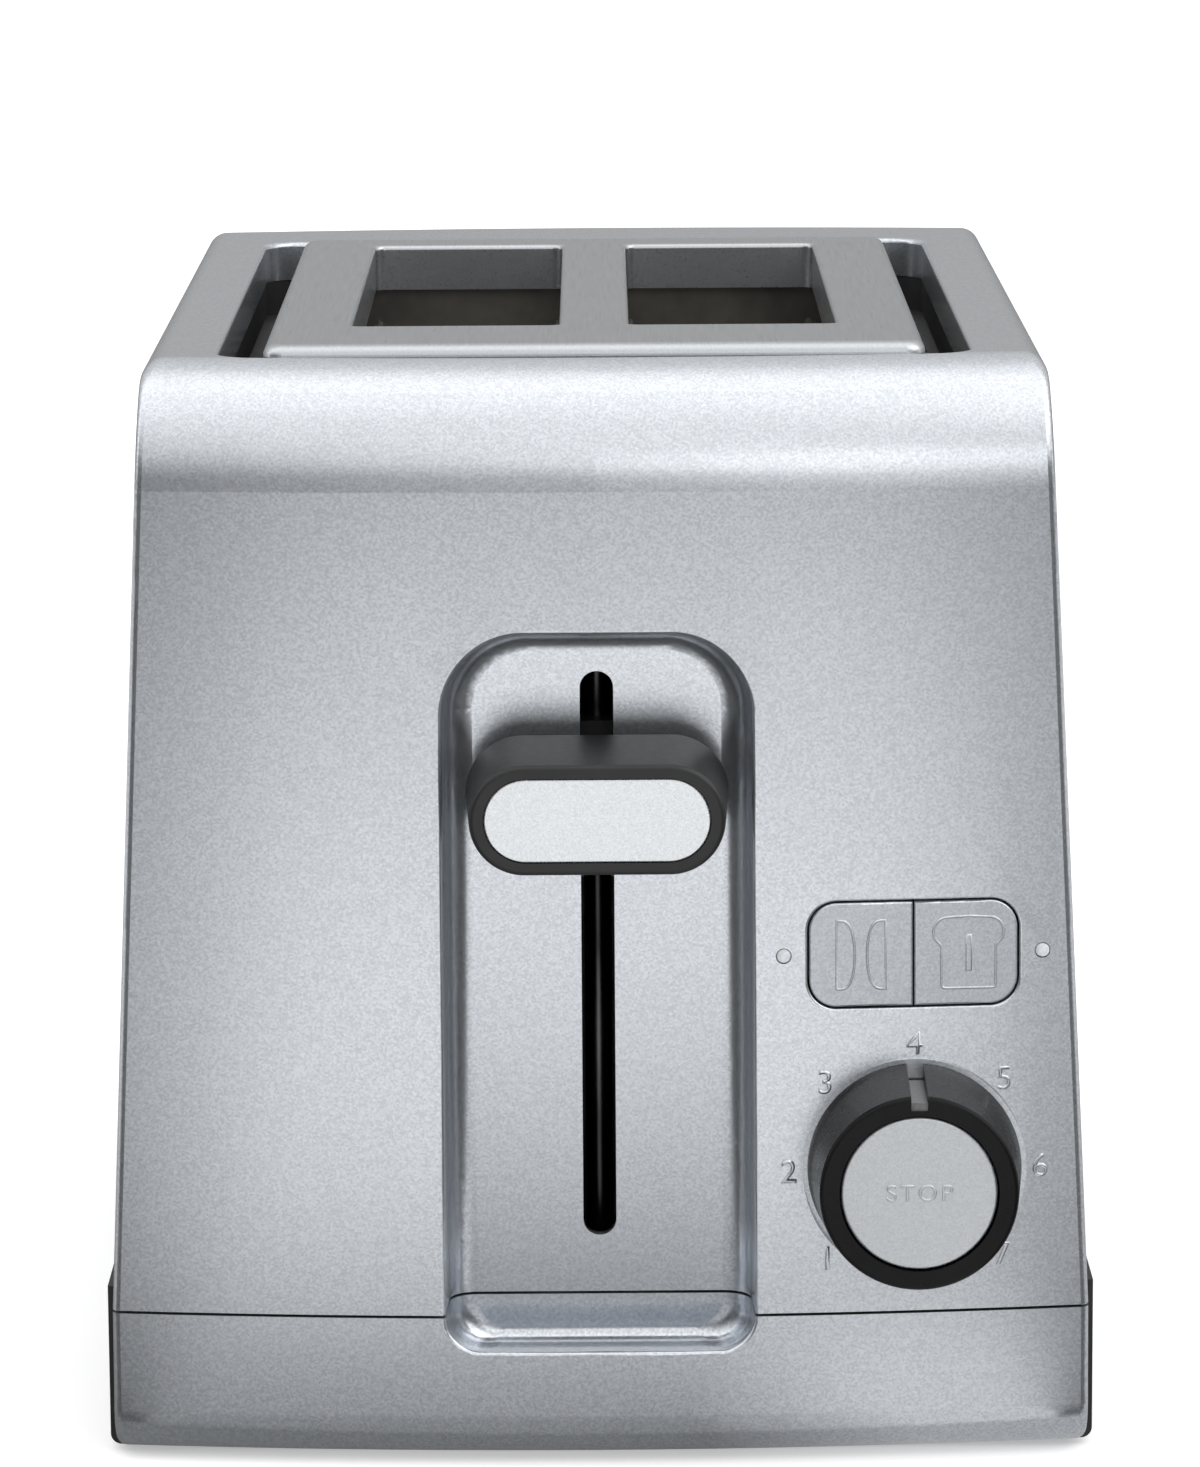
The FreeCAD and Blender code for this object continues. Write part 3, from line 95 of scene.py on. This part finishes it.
# ---------------------------------------------------------------- relief marks, from the frame
KNOB_LOW, KNOB_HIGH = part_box("dial_knob")
DIAL_X = 0.5 * (KNOB_LOW.x + KNOB_HIGH.x)
DIAL_Z = 0.5 * (KNOB_LOW.z + KNOB_HIGH.z)
NUMERAL_COUNT = 7
NUMERAL_RING = 22.6 * MM
NUMERAL_STEP = math.radians(45.3)
NUMERAL_HEIGHT = 4.2 * MM
NUMERAL_RELIEF = 0.48 * MM
NUMERAL_THIN = 0.24 * MM
SLICE_NUMBER_HEIGHT = 6.6 * MM
SLICE_NUMBER_RELIEF = 0.44 * MM
SLICE_NUMBER_THIN = 0.2 * MM
STOP_HEIGHT = 3.0 * MM
STOP_RELIEF = 0.3 * MM
STOP_THIN = 0.16 * MM
STOP_SPACING = 1.25
# Height of a digit as a share of the font's size.
DIGIT_SHARE = 0.70
LINE_WIDTH = 0.5 * MM
BAGEL_GAP = 4.4 * MM


def add_object(name, data):
    made = bpy.data.objects.new(name, data)
    bpy.context.scene.collection.objects.link(made)
    return made


def make_camera():
    data = bpy.data.cameras.new("camera")
    data.sensor_width = CAMERA_SENSOR
    data.lens = CAMERA_LENS
    data.clip_start = 0.01
    camera = add_object("camera", data)
    tilt = Matrix.Rotation(math.pi / 2 - CAMERA_PITCH, 4, "X")
    roll = Matrix.Rotation(CAMERA_ROLL, 4, "Z")
    camera.matrix_world = Matrix.Translation(CAMERA_PLACE) @ tilt @ roll
    bpy.context.scene.camera = camera


class Graph:
    """Adds nodes to one node tree and links them."""

    def __init__(self, tree):
        self.tree = tree
        self.nodes = tree.nodes
        self.links = tree.links

    def feed(self, source, socket):
        if isinstance(source, (int, float)):
            socket.default_value = source
        else:
            self.links.new(source, socket)

    def math(self, operation, *sources):
        node = self.nodes.new("ShaderNodeMath")
        node.operation = operation
        for source, socket in zip(sources, node.inputs):
            self.feed(source, socket)
        return node.outputs[0]

    def ramp(self, source, reach, stops):
        """Greys along source, which runs from 0 to reach."""
        node = self.nodes.new("ShaderNodeValToRGB")
        fill_ramp(node, [(place / reach, grey(shade)) for place, shade in stops])
        self.links.new(self.math("DIVIDE", source, reach), node.inputs["Fac"])
        return node.outputs["Color"]

    def mix(self, kind, share, first, second):
        node = self.nodes.new("ShaderNodeMix")
        node.data_type = "RGBA"
        node.blend_type = kind
        colours = [socket for socket in node.inputs if socket.type == "RGBA"]
        self.feed(share, node.inputs["Factor"])
        for source, socket in zip((first, second), colours):
            if isinstance(source, tuple):
                socket.default_value = (*source, 1.0)
            else:
                self.links.new(source, socket)
        return [socket for socket in node.outputs if socket.type == "RGBA"][0]


def make_world():
    """Studio that is bright overhead, dim low down and beside straight ahead, with two soft boxes."""
    world = bpy.data.worlds.new("studio")
    world.use_nodes = True
    tree = world.node_tree
    tree.nodes.clear()
    graph = Graph(tree)
    coords = tree.nodes.new("ShaderNodeTexCoord")
    split = tree.nodes.new("ShaderNodeSeparateXYZ")
    tree.links.new(coords.outputs["Generated"], split.inputs[0])
    x, y, z = split.outputs[0], split.outputs[1], split.outputs[2]
    forward = graph.math("MULTIPLY", y, -1.0)
    over = graph.math("MAXIMUM", graph.math("ARCTAN2", z, forward), 0.0)
    sweep = graph.ramp(graph.math("DEGREES", over), 180.0, WORLD_SWEEP)
    turn = graph.math("DEGREES", graph.math("ARCTAN2", graph.math("ABSOLUTE", x), forward))
    height = graph.math("DEGREES", graph.math("ARCSINE", graph.math("MAXIMUM", z, 0.0)))
    by_height = graph.ramp(height, 90.0, WALL_BY_HEIGHT)
    wall_share = graph.mix("MULTIPLY", 1.0, graph.ramp(turn, 180.0, WALL_BY_TURN), by_height)
    shade = graph.mix("MIX", wall_share, sweep, WORLD_WALL)
    for aim, glow in SOFT_BOXES:
        aim = Vector(aim).normalized()
        parts = [graph.math("MULTIPLY", source, part) for source, part in zip((x, y, z), aim)]
        toward = graph.math("ADD", graph.math("ADD", parts[0], parts[1]), parts[2])
        away = graph.math("DEGREES", graph.math("ARCCOSINE", graph.math("MINIMUM", toward, 1.0)))
        shade = graph.mix("ADD", 1.0, shade, graph.ramp(away, SOFT_BOX_REACH, glow))
    background = tree.nodes.new("ShaderNodeBackground")
    background.inputs["Strength"].default_value = WORLD_STRENGTH
    output = tree.nodes.new("ShaderNodeOutputWorld")
    tree.links.new(shade, background.inputs["Color"])
    tree.links.new(background.outputs[0], output.inputs[0])
    bpy.context.scene.world = world


def floor_plane(name, level, material):
    half = FLOOR_HALF
    mesh = bpy.data.meshes.new(name)
    corners = [(-half, -half, level), (half, -half, level), (half, half, level), (-half, half, level)]
    mesh.from_pydata(corners, [], [(0, 1, 2, 3)])
    mesh.materials.append(material)
    plane = add_object(name, mesh)
    return plane


def make_floor():
    """White table top, and under it the glow of the lit table that only gloss picks up."""
    table = floor_plane("floor", 0.0, plain_floor())
    table.visible_glossy = False
    sheen = floor_plane("floor_sheen", -SHEEN_DEPTH, floor_sheen())
    sheen.visible_camera = False
    sheen.visible_diffuse = False
    sheen.visible_transmission = False
    sheen.visible_shadow = False


# ---------------------------------------------------------------- material building blocks
def fill_ramp(ramp, stops):
    elements = ramp.color_ramp.elements
    while len(elements) > 1:
        elements.remove(elements[-1])
    elements[0].position = stops[0][0]
    elements[0].color = (*stops[0][1], 1.0)
    for place, colour in stops[1:]:
        element = elements.new(place)
        element.color = (*colour, 1.0)


class Finish:
    """A Principled material with object-space grain in its colour, roughness and bump."""

    def __init__(self, name, metallic=0.0, roughness=0.5, **constants):
        self.material = bpy.data.materials.new(name)
        self.material.use_nodes = True
        self.nodes = self.material.node_tree.nodes
        self.links = self.material.node_tree.links
        self.shader = self.nodes["Principled BSDF"]
        self.shader.inputs["Metallic"].default_value = metallic
        self.shader.inputs["Roughness"].default_value = roughness
        for socket, value in constants.items():
            self.shader.inputs[socket.replace("_", " ")].default_value = value
        self.coords = self.nodes.new("ShaderNodeTexCoord")

    def stretched(self, scale):
        mapping = self.nodes.new("ShaderNodeMapping")
        mapping.inputs["Scale"].default_value = scale
        self.links.new(self.coords.outputs["Object"], mapping.inputs["Vector"])
        return mapping.outputs["Vector"]

    def noise(self, size, detail=2.0, rough=0.5, stretch=(1, 1, 1)):
        """Noise whose cells are about size metres across."""
        node = self.nodes.new("ShaderNodeTexNoise")
        node.inputs["Scale"].default_value = 1.0 / size
        node.inputs["Detail"].default_value = detail
        node.inputs["Roughness"].default_value = rough
        self.links.new(self.stretched(stretch), node.inputs["Vector"])
        return node.outputs["Fac"]

    def flakes(self, size):
        """A random value for each cell about size metres across."""
        node = self.nodes.new("ShaderNodeTexVoronoi")
        node.inputs["Scale"].default_value = 1.0 / size
        self.links.new(self.stretched((1, 1, 1)), node.inputs["Vector"])
        split = self.nodes.new("ShaderNodeSeparateColor")
        self.links.new(node.outputs["Color"], split.inputs[0])
        return split.outputs[0]

    def blend(self, first, second, share):
        node = self.nodes.new("ShaderNodeMix")
        node.inputs["Factor"].default_value = share
        self.links.new(first, node.inputs["A"])
        self.links.new(second, node.inputs["B"])
        return node.outputs["Result"]

    def colour(self, value, dark, light, low=0.3, high=0.7):
        ramp = self.nodes.new("ShaderNodeValToRGB")
        fill_ramp(ramp, [(low, dark), (high, light)])
        self.links.new(value, ramp.inputs["Fac"])
        self.links.new(ramp.outputs["Color"], self.shader.inputs["Base Color"])
        return self

    def roughness(self, value, low, high):
        span = self.nodes.new("ShaderNodeMapRange")
        span.inputs["To Min"].default_value = low
        span.inputs["To Max"].default_value = high
        self.links.new(value, span.inputs["Value"])
        self.links.new(span.outputs["Result"], self.shader.inputs["Roughness"])
        return self

    def bump(self, value, height):
        node = self.nodes.new("ShaderNodeBump")
        node.inputs["Distance"].default_value = height
        self.links.new(value, node.inputs["Height"])
        self.links.new(node.outputs["Normal"], self.shader.inputs["Normal"])
        return self


def grey(value, tint=1.0):
    return (value, value, value * tint)


# ---------------------------------------------------------------- finishes
def plain_floor():
    floor = Finish("floor", roughness=0.9, Emission_Strength=FLOOR_GLOW)
    floor.shader.inputs["Emission Color"].default_value = (1.0, 1.0, 1.0, 1.0)
    floor.colour(floor.noise(0.4), grey(0.86), grey(0.88))
    return floor.material


def floor_sheen():
    """Light of the table top by distance from the toaster's foot and by direction."""
    material = bpy.data.materials.new("floor_sheen")
    material.use_nodes = True
    tree = material.node_tree
    tree.nodes.clear()
    graph = Graph(tree)
    coords = tree.nodes.new("ShaderNodeTexCoord")
    split = tree.nodes.new("ShaderNodeSeparateXYZ")
    tree.links.new(coords.outputs["Object"], split.inputs[0])
    across = graph.math("ABSOLUTE", split.outputs[0])
    forward = graph.math("MULTIPLY", split.outputs[1], -1.0)
    low, high = cad_box
    out = graph.math("MAXIMUM", graph.math("SUBTRACT", across, 0.5 * (high[0] - low[0])), 0.0)
    ahead = graph.math("SUBTRACT", graph.math("ABSOLUTE", forward), HOUSING_FRONT)
    ahead_only = graph.math("MAXIMUM", ahead, 0.0)
    far = graph.math("SQRT", graph.math("ADD", graph.math("MULTIPLY", out, out),
                                        graph.math("MULTIPLY", ahead_only, ahead_only)))
    near_light = graph.ramp(far, SHEEN_REACH, SHEEN_BY_DISTANCE)
    past = graph.math("MAXIMUM", graph.math("SUBTRACT", across, HOUSING_SIDE), 0.0)
    beyond = graph.math("SUBTRACT", forward, HOUSING_FRONT)
    turn = graph.math("DEGREES", graph.math("ARCTAN2", past, beyond))
    around = graph.ramp(turn, 180.0, SHEEN_BY_TURN)
    right = graph.ramp(graph.math("MAXIMUM", split.outputs[0], 0.0), RIGHT_REACH, RIGHT_BY_PLACE)
    corner = graph.mix("MULTIPLY", 1.0, right, graph.ramp(far, SHEEN_REACH, RIGHT_BY_DISTANCE))
    near_light = graph.mix("ADD", 1.0, near_light, corner)
    emission = tree.nodes.new("ShaderNodeEmission")
    output = tree.nodes.new("ShaderNodeOutputMaterial")
    tree.links.new(graph.mix("MULTIPLY", 1.0, near_light, around), emission.inputs["Color"])
    tree.links.new(emission.outputs[0], output.inputs[0])
    return material


def silver_lacquer(name="silver_shell", gloss=0.23):
    """Metallic paint on plastic: fine bright flakes with a satin gloss."""
    paint = Finish(name, metallic=0.9)
    flakes = paint.blend(paint.flakes(0.35 * MM), paint.noise(0.45 * MM, 2.0, 0.7), 0.35)
    paint.colour(flakes, (0.56, 0.585, 0.617), (0.722, 0.752, 0.796), 0.15, 0.85)
    paint.roughness(paint.noise(0.8 * MM, 2.0), gloss - 0.03, gloss + 0.03)
    return paint.bump(paint.noise(0.35 * MM, 3.0, 0.7), 0.0015 * MM).material


def silver_buttons():
    """The same paint on the push buttons, a little more matt."""
    return silver_lacquer("silver_buttons", 0.42)


def silver_trim(name="silver_trim", lift=0.0, gloss=0.42):
    """Bright metallic paint, made paler by lift."""
    dark = (0.58 + lift, 0.60 + lift, 0.62 + lift)
    light = (0.72 + lift, 0.74 + lift, 0.76 + lift)
    trim = Finish(name, metallic=0.85)
    flakes = trim.blend(trim.flakes(0.3 * MM), trim.noise(0.5 * MM, 3.0, 0.7), 0.6)
    trim.colour(flakes, dark, light, 0.2, 0.8)
    trim.roughness(trim.noise(0.6 * MM, 2.0), gloss - 0.03, gloss + 0.03)
    return trim.bump(trim.noise(0.25 * MM, 2.0), 0.004 * MM).material


def silver_insert():
    return silver_trim("silver_insert", 0.07, 0.27)


def chamber_painted_shade():
    """Reflector sheet in the toasting chambers, painted dark brownish grey: painted shade for the depth of
    the slots.
    """
    sheet = Finish("chamber_painted_shade", metallic=1.0)
    # Dark colour range: painted shade inside the toasting chambers, varied at random.
    shade_mottle = sheet.noise(22 * MM, 5.0, 0.6)
    sheet.colour(shade_mottle, (0.13, 0.12, 0.11), (0.24, 0.225, 0.205), 0.3, 0.7)
    sheet.roughness(sheet.noise(4 * MM, 3.0), 0.36, 0.5)
    return sheet.bump(sheet.noise(1.2 * MM, 3.0), 0.008 * MM).material


def black_plastic(name, tone, roughness, grain, shine=0.45):
    plastic = Finish(name, Specular_IOR_Level=shine)
    plastic.colour(plastic.noise(6 * MM, 4.0, 0.6), grey(0.85 * tone), grey(1.15 * tone, 1.05))
    plastic.roughness(plastic.noise(1.5 * MM, 3.0), roughness - 0.05, roughness + 0.05)
    return plastic.bump(plastic.noise(grain, 2.0), 0.012 * MM).material


def black_base():
    return black_plastic("black_base", 0.018, 0.55, 0.5 * MM)


def black_grip():
    return black_plastic("black_grip", 0.014, 0.40, 0.25 * MM)


def black_knob():
    return black_plastic("black_knob", 0.006, 0.28, 0.25 * MM, 0.16)


def rubber():
    return black_plastic("rubber", 0.022, 0.75, 0.8 * MM)


def stainless():
    """Satin stainless with faint lengthways polishing marks."""
    steel = Finish("stainless", metallic=1.0)
    marks = steel.noise(0.5 * MM, 4.0, 0.6, (1, 0.03, 1))
    steel.colour(marks, (0.47, 0.49, 0.51), (0.57, 0.59, 0.61), 0.25, 0.75)
    steel.roughness(marks, 0.24, 0.34)
    return steel.bump(marks, 0.003 * MM).material


def plated_steel():
    steel = Finish("plated_steel", metallic=1.0)
    bloom = steel.noise(9 * MM, 4.0, 0.65)
    steel.colour(bloom, grey(0.42), (0.58, 0.58, 0.56), 0.3, 0.7)
    steel.roughness(bloom, 0.28, 0.42)
    return steel.bump(steel.noise(1.2 * MM, 3.0), 0.01 * MM).material


def wire_steel():
    wire = Finish("wire_steel", metallic=1.0)
    draw = wire.noise(0.6 * MM, 3.0, 0.6, (1, 1, 0.1))
    wire.colour(draw, grey(0.55), grey(0.72, 1.01))
    wire.roughness(draw, 0.16, 0.28)
    return wire.bump(draw, 0.004 * MM).material


def mica():
    """Pressed mica board: warm grey, speckled with shiny scales."""
    board = Finish("mica", Specular_IOR_Level=0.6)
    scales = board.blend(board.flakes(1.6 * MM), board.noise(5 * MM, 4.0), 0.5)
    board.colour(scales, (0.36, 0.31, 0.24), (0.55, 0.50, 0.41), 0.2, 0.8)
    board.roughness(board.flakes(1.6 * MM), 0.35, 0.7)
    return board.bump(scales, 0.03 * MM).material


def nichrome():
    ribbon = Finish("nichrome", metallic=1.0)
    scale = ribbon.noise(2.5 * MM, 4.0, 0.7)
    ribbon.colour(scale, (0.20, 0.17, 0.15), (0.42, 0.38, 0.34))
    ribbon.roughness(scale, 0.4, 0.6)
    return ribbon.bump(scale, 0.01 * MM).material


# Carriage block painted near black: painted shade where it shows deep in the lever slot.
def carriage_painted_shade():
    return black_plastic("carriage_painted_shade", 0.02, 0.5, 0.4 * MM)


def rod_painted_shade():
    """Steel guide rod painted near black, as painted shade deep in the lever slot, with a satin gloss."""
    rod = Finish("rod_painted_shade", metallic=1.0)
    # Near-black range: painted shade in the lever slot, streaked at random.
    shade_streaks = rod.noise(5 * MM, 3.0, 0.6, (1, 1, 0.15))
    rod.colour(shade_streaks, grey(0.03), grey(0.16))
    rod.roughness(shade_streaks, 0.2, 0.34)
    return rod.bump(rod.noise(0.6 * MM), 0.004 * MM).material


def inner_plastic():
    plastic = Finish("inner_plastic")
    plastic.colour(plastic.noise(4 * MM, 3.0), (0.50, 0.47, 0.40), (0.58, 0.55, 0.48))
    plastic.roughness(plastic.noise(1.0 * MM), 0.45, 0.6)
    return plastic.bump(plastic.noise(0.5 * MM), 0.01 * MM).material


def magnet_steel():
    steel = Finish("magnet_steel", metallic=0.9)
    blot = steel.noise(3 * MM, 4.0, 0.7)
    steel.colour(blot, grey(0.18), grey(0.34))
    steel.roughness(blot, 0.35, 0.55)
    return steel.bump(steel.noise(0.6 * MM), 0.01 * MM).material


def copper():
    wound = Finish("copper", metallic=1.0)
    turns = wound.noise(0.5 * MM, 2.0, 0.5, (0.05, 0.05, 1))
    wound.colour(turns, (0.33, 0.12, 0.05), (0.72, 0.34, 0.18))
    wound.roughness(turns, 0.25, 0.4)
    return wound.bump(turns, 0.12 * MM).material


def brass_leaf():
    leaf = Finish("brass_leaf", metallic=1.0)
    tarnish = leaf.noise(2 * MM, 4.0, 0.6)
    leaf.colour(tarnish, (0.48, 0.35, 0.14), (0.75, 0.58, 0.28))
    leaf.roughness(tarnish, 0.22, 0.4)
    return leaf.bump(tarnish, 0.006 * MM).material


def circuit_board():
    board = Finish("circuit_board")
    weave = board.noise(0.5 * MM, 2.0, 0.5, (1, 1, 0.15))
    board.colour(weave, (0.30, 0.19, 0.07), (0.42, 0.29, 0.13))
    board.roughness(board.noise(3 * MM), 0.35, 0.5)
    return board.bump(weave, 0.01 * MM).material


def lamp_clear():
    """Clear light pipe, clouded so that its dome looks pale grey when it is off."""
    lens = Finish("lamp_clear", roughness=0.12, IOR=1.49, Transmission_Weight=0.1)
    cloud = lens.noise(0.6 * MM, 2.0)
    lens.colour(cloud, (0.62, 0.64, 0.66), (0.74, 0.76, 0.78))
    return lens.roughness(cloud, 0.08, 0.22).material


def screw_zinc():
    zinc = Finish("screw_zinc", metallic=1.0)
    turned = zinc.noise(0.4 * MM, 3.0)
    zinc.colour(turned, grey(0.48), (0.66, 0.66, 0.62))
    zinc.roughness(turned, 0.25, 0.4)
    return zinc.bump(turned, 0.006 * MM).material


def capacitor_can():
    sleeve = Finish("capacitor_can", metallic=0.3)
    scuffs = sleeve.noise(2 * MM, 3.0)
    sleeve.colour(scuffs, (0.05, 0.07, 0.12), (0.09, 0.11, 0.18))
    return sleeve.roughness(scuffs, 0.25, 0.4).material


def pointer_grey():
    marker = Finish("pointer_grey")
    marker.colour(marker.noise(0.8 * MM), grey(0.10), grey(0.16))
    return marker.roughness(marker.noise(0.5 * MM), 0.25, 0.35).material


def lead_skin():
    skin = Finish("lead_skin")
    skin.colour(skin.noise(3 * MM, 3.0), (0.10, 0.045, 0.03), (0.17, 0.08, 0.055))
    return skin.roughness(skin.noise(1 * MM), 0.4, 0.55).material


FINISHES = {"silver_shell": silver_lacquer, "silver_trim": silver_trim, "black_base": black_base,
            "black_grip": black_grip, "rubber": rubber, "stainless": stainless,
            "plated_steel": plated_steel, "wire_steel": wire_steel, "mica": mica, "nichrome": nichrome,
            "inner_plastic": inner_plastic, "magnet_steel": magnet_steel, "copper": copper,
            "brass_leaf": brass_leaf, "circuit_board": circuit_board, "lamp_clear": lamp_clear,
            "screw_zinc": screw_zinc, "capacitor_can": capacitor_can, "pointer_grey": pointer_grey,
            "lead_skin": lead_skin}

# Nodes whose finish differs a little from the rest of their slot.
VARIANTS = {"bagel_button": silver_buttons, "single_slice_button": silver_buttons,
            "lever_insert": silver_insert, "dial_knob": black_knob,
            # Carriage block and guide rod: painted shade in the lever slot.
            "carriage_block": carriage_painted_shade, "carriage_guide_rod": rod_painted_shade,
            # Chamber sheets: painted shade for the deep slots.
            "side_reflector_left": chamber_painted_shade, "side_reflector_right": chamber_painted_shade,
            "chamber_front_plate": chamber_painted_shade, "chamber_rear_plate": chamber_painted_shade}


def make_finishes():
    made = {slot: make() for slot, make in FINISHES.items()}
    for make in dict.fromkeys(VARIANTS.values()):
        made[make.__name__] = make()
    return made


def paint_frame(finishes):
    for subpart in frame["record"]["subparts"]:
        node = subpart["node"]
        finish = VARIANTS[node].__name__ if node in VARIANTS else subpart["material_slot"]
        mesh = frame["nodes"][node].data
        mesh.materials.clear()
        mesh.materials.append(finishes[finish])


# ---------------------------------------------------------------- relief marks
def front_spot(node, x, z):
    """Matrix of the tangent plane of a node where a line straight back from the front meets it."""
    target = frame["nodes"][node]
    start = Vector((x, cad_box[0][1] - 100 * MM, z))
    _, place, normal, _ = target.ray_cast(start, Vector((0, 1, 0)))
    across = (Vector((1, 0, 0)) - normal * normal.x).normalized()
    along = normal.cross(across)
    spot = Matrix((across, along, normal)).transposed().to_4x4()
    spot.translation = place
    return spot


def as_piece(source, name, spot, body, finish):
    """Turns a text or curve into a mesh piece on a CAD body."""
    bpy.context.view_layer.update()
    graph = bpy.context.evaluated_depsgraph_get()
    mesh = bpy.data.meshes.new_from_object(source.evaluated_get(graph))
    bpy.data.objects.remove(source)
    mesh.materials.clear()
    mesh.materials.append(finish)
    piece = add_object(name, mesh)
    piece.matrix_world = spot
    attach(piece, body)


def raised_text(name, words, height, relief, thin, spot, body, finish, spacing=1.0):
    """Letters that rise out of a surface by relief, with rounded edges and an outline pulled in by thin."""
    data = bpy.data.curves.new(name, "FONT")
    data.body = words
    data.size = height / DIGIT_SHARE
    data.align_x = "CENTER"
    data.align_y = "CENTER"
    data.space_character = spacing
    data.offset = -thin
    data.extrude = 0.3 * relief
    data.bevel_depth = 0.7 * relief
    data.bevel_resolution = 3
    as_piece(add_object(name + "_text", data), name, spot, body, finish)


def raised_line(name, outline, spot, body, finish):
    """Rounded ridge along a closed list of (u, v)."""
    data = bpy.data.curves.new(name, "CURVE")
    data.dimensions = "3D"
    spline = data.splines.new("POLY")
    spline.points.add(len(outline) - 1)
    for point, (u, v) in zip(spline.points, outline):
        point.co = (u, v, 0.0, 1.0)
    spline.use_cyclic_u = True
    data.bevel_depth = 0.5 * LINE_WIDTH
    data.bevel_resolution = 3
    as_piece(add_object(name + "_curve", data), name, spot, body, finish)


def arc_points(cu, cv, radius, start, end, steps):
    angles = [math.radians(start + (end - start) * i / steps) for i in range(steps + 1)]
    return [(cu + radius * math.cos(a), cv + radius * math.sin(a)) for a in angles]


def half_bagel(hand):
    """Half of a cut bagel seen from its edge: flat on the outside, crowned towards the middle."""
    width, half = 3.3 * MM, 6.2 * MM
    steps, fullness = 24, 0.55
    points = []
    for i in range(steps + 1):
        turn = math.radians(-90 + 180 / steps * i)
        points.append((hand * width * max(math.cos(turn), 0.0) ** fullness, half * math.sin(turn)))
    return points[::hand]


def bread_outline():
    """Slice with a crown wider than its body."""
    body, base, neck = 4.9 * MM, -6.6 * MM, 1.1 * MM
    lobe, lobe_u, lobe_v = 2.6 * MM, 3.75 * MM, 3.6 * MM
    corner = 0.6 * MM
    right = arc_points(body - corner, base + corner, corner, -90, 0, 4)
    right += [(body, neck)]
    right += arc_points(lobe_u, lobe_v, lobe, -52, 90, 14)
    left = [(-u, v) for u, v in reversed(right)]
    crown = [(0.0, lobe_v + lobe + 0.2 * MM)]
    return right + crown + left


def shifted(spot, u, v):
    return spot @ Matrix.Translation((u, v, 0.0))


def middle_spot(node):
    """The front spot in the middle of a node's box."""
    low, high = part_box(node)
    return front_spot(node, 0.5 * (low.x + high.x), 0.5 * (low.z + high.z))


def make_numerals(finishes):
    for i in range(NUMERAL_COUNT):
        angle = (i - NUMERAL_COUNT // 2) * NUMERAL_STEP
        x = DIAL_X + NUMERAL_RING * math.sin(angle)
        z = DIAL_Z + NUMERAL_RING * math.cos(angle)
        spot = front_spot("housing_shell", x, z)
        raised_text(f"numeral_{i + 1}", str(i + 1), NUMERAL_HEIGHT, NUMERAL_RELIEF, NUMERAL_THIN, spot,
                    "housing", finishes["silver_shell"])


def make_button_marks(finishes):
    paint = finishes["silver_buttons"]
    bagel_spot = middle_spot("bagel_button")
    for name, hand in (("left", 1), ("right", -1)):
        half_spot = shifted(bagel_spot, -hand * BAGEL_GAP, 0)
        raised_line("bagel_mark_" + name, half_bagel(hand), half_spot, "bagel_button",
                    paint)
    slice_spot = shifted(middle_spot("single_slice_button"), 0.5 * MM, 0.2 * MM)
    raised_line("slice_mark", bread_outline(), slice_spot, "single_slice_button", paint)
    raised_text("slice_number", "1", SLICE_NUMBER_HEIGHT, SLICE_NUMBER_RELIEF, SLICE_NUMBER_THIN,
                shifted(slice_spot, 0, -0.6 * MM), "single_slice_button", paint)


def make_stop_word(finishes):
    spot = front_spot("stop_cap", DIAL_X, DIAL_Z)
    raised_text("stop_word", "STOP", STOP_HEIGHT, STOP_RELIEF, STOP_THIN, spot, "stop_button",
                finishes["silver_trim"], STOP_SPACING)


make_camera()
make_world()
make_floor()
all_finishes = make_finishes()
paint_frame(all_finishes)
make_numerals(all_finishes)
make_button_marks(all_finishes)
make_stop_word(all_finishes)
bpy.context.scene.view_settings.view_transform = "Standard"
